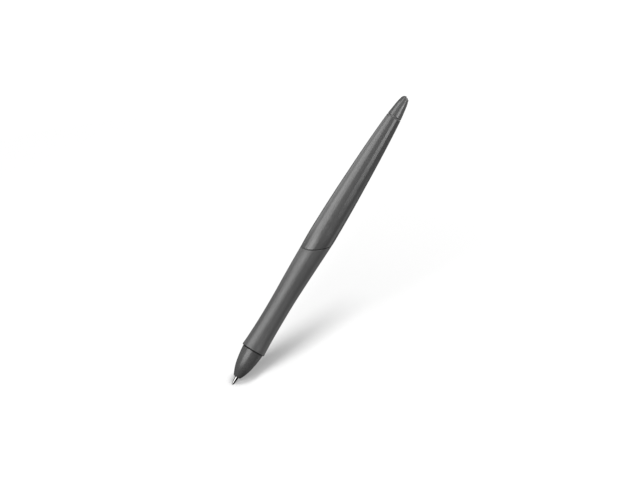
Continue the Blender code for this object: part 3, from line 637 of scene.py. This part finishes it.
# slot: (kind of material, colour, settings)
LOOKS = {
    "nose_plastic": (moulded, PEN_GREY, NOSE_LOOK),
    "grip_rubber": (rubber, PEN_GREY, dict(rough=0.34, gloss_heights=(19.0, 48.0))),
    "rear_plastic": (moulded, PEN_GREY, dict(rough=0.20, seam=1)),
    # the tail cap's grey is painted a quarter paler, to stand in for the overhead lamp's light
    # that is kept off it
    "tail_plastic": (moulded, shade(PEN_GREY, 1.25), dict(rough=0.16)),
    "barrel_plastic": (moulded, (0.025, 0.025, 0.026), dict(rough=0.6, specular=0.15)),
    "ball_carbide": (polished_ball, (0.55, 0.55, 0.57), {}),
    "point_metal": (turned_metal, (0.56, 0.555, 0.55), dict(rough=0.12)),
    "tube_brass": (
        turned_metal, (0.66, 0.54, 0.31), dict(rough=0.27, mark=0.3, depth=0.0015, tint=0.12)
    ),
    "cushion_rubber": (rubber, (0.028, 0.028, 0.028), dict(rough=0.66)),
    "ferrite": (sintered, (0.05, 0.047, 0.045), dict(rough=0.55)),
    "copper_wire": (enamel_wire, (0.62, 0.26, 0.12), {}),
    "amber_tape": (tape, (0.55, 0.25, 0.04), {}),
    "holder_plastic": (moulded, (0.55, 0.55, 0.51), dict(rough=0.45, grain=0.3)),
    "cup_plastic": (moulded, (0.68, 0.68, 0.65), dict(rough=0.42, grain=0.3)),
    "spring_steel": (enamel_wire, (0.55, 0.55, 0.54), dict(rough=0.22, metallic=1.0)),
    "housing_plastic": (moulded, (0.06, 0.06, 0.065), dict(rough=0.45)),
    "pad_rubber": (rubber, (0.035, 0.035, 0.035), dict(rough=0.7)),
    "spacer_plastic": (moulded, (0.72, 0.69, 0.6), dict(rough=0.45, grain=0.25)),
    "disc_ceramic": (sintered, (0.72, 0.66, 0.55), dict(rough=0.35, fleck=0.06)),
    "clip_metal": (turned_metal, (0.7, 0.64, 0.46), dict(rough=0.28, mark=0.2)),
    "chassis_plastic": (moulded, (0.14, 0.14, 0.15), dict(rough=0.48, grain=0.3)),
    "board_laminate": (laminate, (0.03, 0.17, 0.07), {}),
    "chip_resin": (chip_resin, (0.018, 0.018, 0.02), {}),
    "trimmer_ceramic": (sintered, (0.7, 0.67, 0.6), dict(rough=0.4, fleck=0.05)),
    "rotor_metal": (turned_metal, (0.72, 0.69, 0.58), dict(rough=0.25, mark=0.2)),
    "lead_enamel": (enamel_wire, (0.5, 0.13, 0.045), dict(rough=0.3, metallic=0.5)),
    "lead_tinned": (enamel_wire, (0.6, 0.6, 0.58), dict(rough=0.32, metallic=1.0)),
    "tail_rubber": (rubber, (0.045, 0.045, 0.045), dict(rough=0.68)),
}
FINISH = {
    slot: make(slot + "_look", colour, **settings)
    for slot, (make, colour, settings) in LOOKS.items()
}
CAPACITOR_COLOUR = (0.42, 0.33, 0.2)
CAPACITORS = {"chip_capacitor_a": 76.0, "chip_capacitor_b": 76.0, "chip_capacitor_c": 84.0}


# ---------------------------------------------------------------- outer shells
def thread_radius(turn, z):
    """The spigot's radius at a share of a turn and a height, thread included."""
    last = (THREAD_TO - THREAD_FROM) / PITCH
    along = (z - THREAD_FROM) / PITCH - turn
    whole = round(along)
    away = abs(along - whole) * PITCH
    place = min(max(whole + turn, 0.0), last)
    if abs(whole + turn - place) > 0.02:  # beyond either end of the thread
        away = PITCH
    grown = min(1.0, place / THREAD_FADE, (last - place) / THREAD_FADE)
    root = SPIGOT_CORE - 0.1
    top = root + (SPIGOT_CREST - root) * (0.12 + 0.88 * grown)
    share = min(1.0, max(0.0, (away - CREST_HALF) / FLANK))
    share = share * share * (3 - 2 * share)
    return max(SPIGOT_CORE, top + (root - top) * share)


def nose_cone():
    """Blunt rounded front, ogive side, a neck in front of the grip, and a threaded spigot."""
    front, edge = 0.45, 0.09  # radii of the two roundings
    outside = arc((1.445, NOSE_FRONT + front), front, -90, -27.5, 8)
    outside += [(nose_radius(z), z) for z in span(4.55, NOSE_RIM - edge, 0.45)]
    outside += arc((nose_radius(NOSE_RIM) - edge, NOSE_RIM - edge), edge, 0, 90, 4)[1:]
    outside += [
        (NECK + 0.05, NOSE_RIM), (NECK, NOSE_RIM + 0.05), (NECK, 19.03), (NECK - 0.05, 19.08),
        (SPIGOT_CORE + 0.05, 19.08), (SPIGOT_CORE, 19.13),
    ]
    rings = [ring(radius, z) for radius, z in outside]
    turns = [k / SIDES for k in range(SIDES)]
    for z in span(19.2, 24.05, 0.062):
        rings.append([polar(thread_radius(turn, z), 2 * math.pi * turn, z) for turn in turns])
    inside = (
        (SPIGOT_CORE, 24.12), (SPIGOT_CORE - 0.18, 24.3), (2.95, 24.3), (2.95, 17.0),
        (2.95, 10.1), (2.47, 9.8), (2.47, 8.25), (1.27, 8.25), (1.25, 6.0), (1.25, 4.35),
        (1.29, 4.14), (1.37, NOSE_FRONT),
    )
    rings += [ring(radius, z) for radius, z in inside]
    return skin("nose_cone_shell", rings)


def seam_height(x, side):
    """The slanted seam's plane on the grip's side (-1) or the rear barrel's side (+1)."""
    return SEAM_Z + SEAM_SLOPE * x + side * SEAM_GAP / 2


def leaned(z, radius, angle, leans):
    """A point of the outer surface, moved sideways where the grip leans."""
    x, y, _ = polar(radius, angle, z)
    if leans and LEAN_FROM < z < LEAN_TO:
        amount = LEAN * math.sin(math.pi * (z - LEAN_FROM) / (LEAN_TO - LEAN_FROM)) ** 2
        x += amount * math.cos(LEAN_TURN)
        y += amount * math.sin(LEAN_TURN)
    return x, y, z


def seam_rings(radius, side, leans, start, count):
    """Rings from a level one at height start to the slanted seam, round its edge, to the bore."""

    def surface(angle, z):
        return leaned(z, radius(z), angle, leans)

    corners = []
    for angle in around():
        z = SEAM_Z
        for _ in range(30):  # settles where the surface meets the seam's plane
            z = seam_height(surface(angle, z)[0], side)
        corners.append((angle, z))
    rings = []
    for i in range(1, count + 1):
        share = i / count
        rings.append([
            surface(angle, start + (corner + side * SEAM_EDGE - start) * share)
            for angle, corner in corners
        ])
    edge_steps = 5
    for i in range(1, edge_steps + 1):
        share = i / edge_steps
        points = []
        for angle, corner in corners:
            first = Vector(surface(angle, corner + side * SEAM_EDGE))
            middle = Vector(surface(angle, corner))
            flat = Vector((middle.x, middle.y, 0.0))
            inner = flat * ((flat.length - SEAM_EDGE) / flat.length)
            end = Vector((inner.x, inner.y, seam_height(inner.x, side)))
            near, far = 1 - share, share
            points.append(tuple(first * near**2 + middle * 2 * far * near + end * far * far))
        rings.append(points)
    reach = 0.0
    if side < 0:  # the sleeve carries a tongue that closes the gap a little below the surface
        reach = TONGUE_REACH
        root, tongue = [], []
        for point in rings[-1]:
            flat = Vector((point[0], point[1], 0.0))
            flat *= (flat.length - 0.2) / flat.length
            z = seam_height(flat.x, side)
            root.append((flat.x, flat.y, z))
            tongue.append((flat.x, flat.y, z + reach))
        rings += [root, tongue]
    bore = ring(SHELL_BORE, 0.0)
    rings.append([(x, y, seam_height(x, side) + reach) for x, y, _ in bore])
    return rings


def grip_sleeve():
    """Waisted soft sleeve: front ring proud of the nose cone, stepped bore, slanted rear edge."""
    front, edge, slant_from = 19.2, 0.24, 62.0
    rounding = arc((grip_radius(front) - edge, STEP_Z + edge), edge, -90, 0, 7)
    rings = [ring(radius, z) for radius, z in rounding]
    for z in span(front, slant_from, 0.9):
        rings.append([leaned(z, grip_radius(z), angle, True) for angle in around()])
    rings += seam_rings(grip_radius, -1, True, slant_from, 18)
    bore = (
        (SHELL_BORE, 70.0), (5.0, 57.0), (4.65, 44.0), (4.65, 32.0), (4.65, 20.0),
        (5.38, 20.0), (5.38, 18.75), (5.42, STEP_Z),
    )
    rings += [ring(radius, z) for radius, z in bore]
    return skin("grip_sleeve_skin", rings)


def rear_barrel():
    """Rear shell: slanted front edge, long taper to the tail seam, stepped bore."""
    slant_to = 92.0
    rings = seam_rings(rear_radius, 1, False, slant_to, 22)
    rings.reverse()
    rings += [ring(rear_radius(z), z) for z in span(slant_to, TAIL_SEAM - 0.25, 1.0)]
    end = TAIL_SEAM - TAIL_GAP / 2
    inside = arc((rear_radius(end) - TAIL_EDGE, end - TAIL_EDGE), TAIL_EDGE, 0, 90, 5)
    inside += [
        (2.65, end), (2.65, 139.0), (3.00, 138.6), (3.35, 134.0), (4.15, 121.0),
        (4.90, 106.0), (4.90, 92.4), (SHELL_BORE, 92.4), (SHELL_BORE, 84.0),
    ]
    rings += [ring(radius, z) for radius, z in inside]
    return skin("rear_barrel_shell", rings)


def tail_cap():
    """Round-ended plug with a hollow spigot."""
    start = TAIL_SEAM + TAIL_GAP / 2
    rim, face = cap_radius(start), TAIL_SEAM - 0.07
    profile = arc((rim - TAIL_EDGE, start + TAIL_EDGE), TAIL_EDGE, -90, 0, 5)
    profile += [(cap_radius(z), z) for z in span(146.3, 155.2, 0.4)]
    profile += arc((0.0, LENGTH - TAIL_RADIUS), TAIL_RADIUS, 14, 90, 16)
    profile[-1] = (0.0, LENGTH)  # exactly on the axis, so that it is a pole
    profile += [
        (0.0, 150.3), (0.9, 150.0), (1.6, 149.3), (1.6, 144.0), (1.6, 139.4), (2.40, 139.4),
        (2.60, 139.7), (2.60, face), (rim - 0.3, face), (rim - 0.27, start),
    ]
    return turned("tail_cap_plug", profile)


# ---------------------------------------------------------------- refill
def refill_point():
    """Metal point: rim curled over the ball, ground cone, turned groove, tail in the tube."""
    rim = 0.274
    tip_radius, cone_radius, cone_from, cone_to = 0.53, 1.02, 0.42, 4.5
    taper = (cone_radius - tip_radius) / (cone_to - cone_from)
    profile = [(0.455, rim + 0.002), (0.475, rim + 0.02), (0.505, 0.36), (tip_radius, 0.45)]
    profile += [(tip_radius + taper * (z - cone_from), z) for z in span(0.7, 4.4, 0.3)]
    profile += [
        (cone_radius, cone_to), (1.05, 4.62), (1.15, 5.2), (1.15, 5.58), (1.13, 5.6),
        (0.80, 5.6), (0.80, 7.9), (0.72, 8.0), (0.2, 8.0), (0.2, 0.8),
    ]
    profile += arc((0.0, BALL_RADIUS), BALL_RADIUS + 0.03, 62, -17, 12)
    return turned("refill_point_tip", profile, REFILL_SIDES)


def writing_ball():
    bm = bmesh.new()
    centre = Matrix.Translation((0.0, 0.0, BALL_RADIUS * MM))
    bmesh.ops.create_icosphere(bm, subdivisions=4, radius=BALL_RADIUS * MM, matrix=centre)
    return bake("writing_ball_round", bm, 60.0)


def refill_tube():
    """Ink tube with three stake marks that hold the point, and rounded rims."""
    stakes = [0.35 + 2 * math.pi * k / 3 for k in range(3)]
    stake_height, stake_depth, stake_spread = 6.8, 0.09, 0.06
    heights = [TUBE_FROM, 5.67, 5.71] + span(5.9, 7.9, 0.125) + span(8.4, 35.6, 1.2)
    rings = []
    for z in heights + [35.9, 35.97, TUBE_TO]:
        rim = 0.04 * max(0.0, (5.71 - z) / 0.06) + 0.1 * max(0.0, (z - 35.9) / 0.1) ** 2
        points = []
        for angle in around(REFILL_SIDES):
            dent = 0.0
            for stake in stakes:
                turn = angle - stake
                away = math.atan2(math.sin(turn), math.cos(turn)) * TUBE_RADIUS
                square = away**2 + (z - stake_height) ** 2
                dent += stake_depth * math.exp(-square / stake_spread)
            points.append(polar(TUBE_RADIUS - rim - dent, angle, z))
        rings.append(points)
    rings += [ring(TUBE_BORE, z, REFILL_SIDES) for z in (TUBE_TO, 24.0, 12.0, TUBE_FROM)]
    return skin("refill_tube_brass", rings)


# ---------------------------------------------------------------- wires
def swept(name, path, radius, sides):
    """A round wire along a path, with domed ends."""
    points = [Vector(point) for point in path]
    last = len(points) - 1
    rings = []
    across = Vector((1.0, 0.0, 0.0))
    for i, point in enumerate(points):
        ahead = (points[min(i + 1, last)] - points[max(i - 1, 0)]).normalized()
        across = (across - ahead * across.dot(ahead)).normalized()
        up = ahead.cross(across)
        ways = [across * math.cos(angle) + up * math.sin(angle) for angle in around(sides)]
        hoop = [tuple(point + way * radius) for way in ways]
        if i in (0, last):
            end = -ahead if i == 0 else ahead
            pole = [tuple(point + end * radius * 0.5)]
            dome = [tuple(point + end * radius * 0.3 + way * radius * 0.7) for way in ways]
            rings += [pole, dome, hoop] if i == 0 else [hoop, dome, pole]
        else:
            rings.append(hoop)
    return skin(name, rings, 50.0)


def antenna_winding():
    """One layer of lacquered wire, wound close on the ferrite core."""
    wire, low, high, core = 0.165, 10.6, 18.6, 2.345  # wire and core radii, end heights
    rise, per_turn = high - low - 2 * wire, 40
    turns = int(rise / (2 * wire + 0.004))
    steps = turns * per_turn
    path = [
        polar(core + wire, 2 * math.pi * i / per_turn, low + wire + rise * i / steps)
        for i in range(steps + 1)
    ]
    return swept("antenna_winding", path, wire, 8)


def return_spring():
    """Open coil with one closed turn at each end."""
    wire, radius, turns = 0.24, 2.25, 5.5
    closed = wire + 0.03  # pitch of the end turns
    free = (SPRING_LENGTH - wire - 2 * closed) / (turns - 2)
    steps = int(turns * 36)
    path = []
    for i in range(steps + 1):
        turn = turns * i / steps
        z = SPRING_TOP - SPRING_LENGTH + wire / 2
        z += closed * (min(turn, 1.0) + max(turn - turns + 1, 0.0))
        z += free * min(max(turn - 1, 0.0), turns - 2)
        path.append(polar(radius, 2 * math.pi * turn, z))
    return swept("return_spring_wire", path, wire / 2, 12)


# ---------------------------------------------------------------- assembly
def dress(obj, body, slot, node):
    """The piece rides on its body, stands for a CAD node and takes its finish from a slot."""
    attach(obj, body)
    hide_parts(node)
    obj.data.materials.clear()
    obj.data.materials.append(FINISH[slot])
    return obj


def dress_cad_nodes():
    """Every other CAD node keeps its shape and gets its look through its own slot."""
    slots = {
        row["node"]: row.get("material_slot") or row.get("slot") or row.get("material")
        for row in frame["record"]["subparts"]
        if isinstance(row, dict) and "node" in row
    }
    for name, obj in frame["nodes"].items():
        if obj.hide_render:
            continue
        if name in CAPACITORS:
            look = chip_capacitor(name + "_look", CAPACITOR_COLOUR, CAPACITORS[name])
        else:
            look = FINISH[slots[name]]
        if not obj.material_slots:
            obj.data.materials.append(look)
        for slot in obj.material_slots:
            slot.material = look
        obj.data.shade_smooth()
        obj.modifiers.new("weld", "WELD").merge_threshold = 1e-6
        obj.modifiers.new("hard_edges", "EDGE_SPLIT").split_angle = math.radians(32)


dress(nose_cone(), "nose", "nose_plastic", "nose_cone")
dress(grip_sleeve(), "barrel", "grip_rubber", "grip_sleeve")
dress(rear_barrel(), "barrel", "rear_plastic", "rear_barrel")
dress(tail_cap(), "barrel", "tail_plastic", "tail_cap")
dress(refill_point(), "refill", "point_metal", "refill_point")
dress(writing_ball(), "ball", "ball_carbide", "writing_ball")
dress(refill_tube(), "refill", "tube_brass", "refill_tube")
dress(antenna_winding(), "barrel", "copper_wire", "antenna_coil")
spring = dress(return_spring(), "barrel", "spring_steel", "return_spring")
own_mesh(spring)
dress_cad_nodes()

# ---------------------------------------------------------------- camera
# square on to the pen, which leans to the right in the view
VIEW_AZIMUTH = math.radians(-35.8)
PEN_SLOPE = math.radians(58.84117)  # the pen's axis above the view's horizontal
LENS, SENSOR = 130.0, 36.0
# as shares of the pen's length
VIEW_WIDTH = 1.9020324
VIEW_RIGHT, VIEW_UP = 0.26034069, 0.42914606  # from the tip to the middle of the view

BACK = Vector((math.sin(VIEW_AZIMUTH), -math.cos(VIEW_AZIMUTH), 0.0))
SIDE = Vector((math.cos(VIEW_AZIMUTH), math.sin(VIEW_AZIMUTH), 0.0))
UP_AXIS = Vector((0.0, 0.0, 1.0))
RIGHT = SIDE * math.sin(PEN_SLOPE) + UP_AXIS * math.cos(PEN_SLOPE)
UP = UP_AXIS * math.sin(PEN_SLOPE) - SIDE * math.cos(PEN_SLOPE)


def placed(where, right, up, back):
    """A matrix that puts an object somewhere with its three axes along the given ways."""
    return Matrix.Translation(where) @ Matrix((right, up, back)).transposed().to_4x4()


def add_camera():
    data = bpy.data.cameras.new("camera")
    data.lens, data.sensor_width = LENS, SENSOR
    data.clip_start, data.clip_end = 0.01, 20.0
    camera = bpy.data.objects.new("camera", data)
    bpy.context.scene.collection.objects.link(camera)
    bpy.context.scene.camera = camera
    away = VIEW_WIDTH * LENS / SENSOR
    where = (RIGHT * VIEW_RIGHT + UP * VIEW_UP + BACK * away) * LENGTH * MM
    camera.matrix_world = placed(where, RIGHT, UP, BACK)


add_camera()


def from_camera(x, y, z):
    """A direction given as right, up and towards the viewer of the main view."""
    return RIGHT * x + UP * y + BACK * z


# ---------------------------------------------------------------- light
# softboxes in an even grey room
ROOM = 0.2
LAMP_AWAY = 4.0  # metres
# (turn round the pen from the viewer, tilt towards the tail, half width, half height,
#  all in degrees; radiance)
PEN_LAMPS = (
    (-30.4, -13.7, 24.9, 11.9, 4.65),
    (-53.6, 4.1, 27.8, 11.7, 2.92),
    (43.1, 17.0, 18.4, 8.0, 4.45),
    (-48.5, 71.4, 18.0, 29.5, 9.0),
    (107.8, -2.2, 15.9, 7.5, 0.86),
    (-92.0, 6.4, 41.7, 6.0, 1.42),
    (-61.9, 20.4, 19.3, 5.0, 3.36),
    (149.3, 44.5, 22.8, 22.2, 5.7),
    (180.0, 4.0, 8.0, 14.0, 1.6),
)
OVERHEAD = 3  # the lamp above the tail, which would burn out on the tail cap's dome
TAIL_LAMPS = (
    (50.0, 46.0, 9.0, 24.0, 4.8),
    (-38.0, 42.0, 11.0, 18.0, 2.8),
)
METAL_LAMPS = (
    (-30.0, -13.7, 22.0, 14.0, 2.4),
    (-48.5, 71.4, 18.0, 29.5, 3.0),
    (149.3, 44.5, 22.8, 22.2, 3.0),
)
# (height, bearing, roll, half width, half height, all in degrees; radiance)
FLOOR_LAMPS = (
    (60.2, 52.0, 113.9, 3.77, 14.4, 218.0),
    (18.1, 102.6, -10.4, 15.8, 4.88, 100.0),
)
METAL_PIECES = ("refill_point_tip", "writing_ball_round", "refill_tube_brass")


def lamp_size(*half_angles):
    return (2 * LAMP_AWAY * math.tan(math.radians(half)) for half in half_angles)


def softbox(name, toward, across, half_width, half_height, radiance, receivers):
    """A rectangular lamp that lights only the objects in a collection."""
    width, height = lamp_size(half_width, half_height)
    data = bpy.data.lights.new(name, "AREA")
    data.shape, data.size, data.size_y = "RECTANGLE", width, height
    data.energy = radiance * math.pi * width * height
    lamp = bpy.data.objects.new(name, data)
    bpy.context.scene.collection.objects.link(lamp)
    lamp.visible_camera = False
    lamp.matrix_world = placed(toward * LAMP_AWAY, across, toward.cross(across), toward)
    lamp.light_linking.receiver_collection = receivers


def patches(toward, across, half_width, half_height, radiance):
    """The same lamp as small patches: (direction, irradiance face on)."""
    along = toward.cross(across)
    width, height = lamp_size(half_width, half_height)
    count = 8
    steps = [(i + 0.5) / count - 0.5 for i in range(count)]
    found = []
    for i in steps:
        for j in steps:
            spot = toward * LAMP_AWAY + across * width * i + along * height * j
            way = spot.normalized()
            area = width * height / count**2
            found.append((way, radiance * way.dot(toward) * area / spot.length_squared))
    return found


def round_pen(turn, tilt):
    """The way to a lamp and the way across it, from its turn and tilt."""
    turn, tilt = math.radians(turn), math.radians(tilt)
    level = SIDE * math.sin(turn) + BACK * math.cos(turn)
    toward = level * math.cos(tilt) + UP_AXIS * math.sin(tilt)
    return toward, SIDE * math.cos(turn) - BACK * math.sin(turn)


def over_floor(height, bearing, roll):
    """The way to a floor lamp and the way across it."""
    height, bearing, roll = map(math.radians, (height, bearing, roll))
    toward = from_camera(
        math.cos(height) * math.cos(bearing),
        math.sin(height),
        math.cos(height) * math.sin(bearing),
    )
    level = from_camera(-math.sin(bearing), 0.0, math.cos(bearing))
    return toward, level * math.cos(roll) + toward.cross(level) * math.sin(roll)


on_pen, on_barrel, on_tail, on_metal, on_floor = (
    bpy.data.collections.new("lit_" + part) for part in ("pen", "barrel", "tail", "metal", "floor")
)
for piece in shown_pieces():
    if piece.name in METAL_PIECES:
        on_metal.objects.link(piece)
    else:
        on_pen.objects.link(piece)
        (on_tail if piece.name == "tail_cap_plug" else on_barrel).objects.link(piece)

for part, lamps, lit in (
    ("pen", PEN_LAMPS, on_pen), ("tail", TAIL_LAMPS, on_tail), ("metal", METAL_LAMPS, on_metal)
):
    for i, (turn, tilt, *shine) in enumerate(lamps):
        receivers = on_barrel if part == "pen" and i == OVERHEAD else lit
        softbox(f"{part}_softbox_{i}", *round_pen(turn, tilt), *shine, receivers)
floor_light = []
for i, (height, bearing, roll, *shine) in enumerate(FLOOR_LAMPS):
    aim = over_floor(height, bearing, roll)
    softbox(f"floor_softbox_{i}", *aim, *shine, on_floor)
    floor_light += patches(*aim, *shine)


def stage_mesh(name, points, faces):
    mesh = bpy.data.meshes.new(name)
    mesh.from_pydata(points, [], faces)
    obj = bpy.data.objects.new(name, mesh)
    bpy.context.scene.collection.objects.link(obj)
    return obj


def black_flag():
    """Curved black cards beside the metal point, seen only in reflections.

    They keep its right side and left edge dark.
    """
    away, low, high = 12.0, -8.0, 3.6
    points, faces = [], []
    for first, last in ((4, 140), (192, 248)):  # degrees round the pen from the viewer
        for turn in range(first, last + 1, 8):
            angle = math.radians(turn)
            way = SIDE * math.sin(angle) + BACK * math.cos(angle)
            points += [tuple(way * away * MM + UP_AXIS * z * MM) for z in (low, high)]
            if turn > first:
                faces.append(tuple(len(points) - k for k in (4, 3, 1, 2)))
    card = stage_mesh("black_flag", points, faces)
    card.visible_camera = card.visible_diffuse = False
    card.visible_shadow = card.visible_transmission = False
    paint, shader = principled("black_card")
    shader.inputs["Base Color"].default_value = (0.004, 0.004, 0.004, 1.0)
    shader.inputs["Roughness"].default_value = 0.9
    shader.inputs["Specular IOR Level"].default_value = 0.0
    card.data.materials.append(paint)


def room_world():
    """An even grey room for the light, a white backdrop for the camera."""
    world = bpy.data.worlds.new("room")
    bpy.context.scene.world = world
    world.use_nodes = True
    graph = Nodes(world.node_tree)
    graph.tree.nodes.clear()
    seen = graph.node("ShaderNodeLightPath").outputs["Is Camera Ray"]
    room = graph.node("ShaderNodeBackground", {"Color": (ROOM, ROOM, ROOM)})
    backdrop = graph.node("ShaderNodeBackground", {"Color": (1.0, 1.0, 1.0), "Strength": 1.02})
    inputs = {0: seen, 1: room.outputs[0], 2: backdrop.outputs[0]}
    choose = graph.node("ShaderNodeMixShader", inputs)
    graph.node("ShaderNodeOutputWorld", {0: choose.outputs[0]})


black_flag()
room_world()

# ---------------------------------------------------------------- floor
FLOOR_TILT = math.radians(30.0)
FLOOR_HALF = 6.0  # metres
FLOOR_WHITE = 1.03
FLOOR_GLOW = 0.355  # share of the floor's brightness that no shadow takes away
GLOW_GROWS = (0.28, 0.75)  # metres from the tip over which the glow takes over
MAIN_VIEW = math.radians(17)  # how near the main view the leaning floor shows


def floor_paint(name, white, near_main):
    """Diffuse white with a glow, clear when seen from the other floor's views."""
    material = bpy.data.materials.new(name)
    material.use_nodes = True
    material.cycles.emission_sampling = "NONE"
    graph = Nodes(material.node_tree)
    graph.tree.nodes.clear()
    paint = graph.node("ShaderNodeBsdfDiffuse", {"Color": (white, white, white)})
    seen = graph.node("ShaderNodeNewGeometry").outputs
    away = graph.length(seen["Position"])
    strength = graph.range(away, GLOW_GROWS, to=(FLOOR_GLOW, FLOOR_WHITE), smooth=False)
    glow = graph.node("ShaderNodeEmission", {"Strength": strength})
    both = graph.node("ShaderNodeAddShader", {0: paint.outputs[0], 1: glow.outputs[0]})
    facing = graph.node(
        "ShaderNodeVectorMath", {0: seen["Incoming"], 1: tuple(BACK)}, operation="DOT_PRODUCT"
    )
    test = "GREATER_THAN" if near_main else "LESS_THAN"
    shown = graph.math(test, facing.outputs["Value"], math.cos(MAIN_VIEW))
    clear = graph.node("ShaderNodeBsdfTransparent")
    mixed = graph.node("ShaderNodeMixShader", {0: shown, 1: clear.outputs[0], 2: both.outputs[0]})
    graph.node("ShaderNodeOutputMaterial", {0: mixed.outputs[0]})
    return material


def floor(name, normal, near_main):
    """A white floor through the pen's tip that neither lights the pen nor shades it.

    One floor leans with the pen and shows only from near the main view. The other is level.
    """
    normal = normal.normalized()
    flat = normal.orthogonal().normalized()
    other = normal.cross(flat)
    corners = ((-1, -1), (1, -1), (1, 1), (-1, 1))
    points = [tuple(flat * i * FLOOR_HALF + other * j * FLOOR_HALF) for i, j in corners]
    obj = stage_mesh(name, points, [(0, 1, 2, 3)])
    on_floor.objects.link(obj)
    obj.visible_shadow = obj.visible_diffuse = False
    obj.visible_glossy = obj.visible_transmission = False
    lit = sum(max(0.0, way.dot(normal)) * power for way, power in floor_light) / math.pi + ROOM
    white = (FLOOR_WHITE - FLOOR_GLOW) / lit
    obj.data.materials.append(floor_paint(name + "_white", white, near_main))
    # the floor stays under whatever comes down
    for target, below in (("refill_point_tip", 0.0), ("nose_cone_shell", 4.0 * MM)):
        under = obj.constraints.new("FLOOR")
        under.target = bpy.data.objects[target]
        under.floor_location = "FLOOR_NEGATIVE_Z"
        under.offset = below


floor("floor_main", from_camera(0.0, math.cos(FLOOR_TILT), math.sin(FLOOR_TILT)), True)
floor("floor_level", UP_AXIS, False)

bpy.context.scene.view_settings.view_transform = "Standard"
bpy.context.scene.view_settings.look = "None"
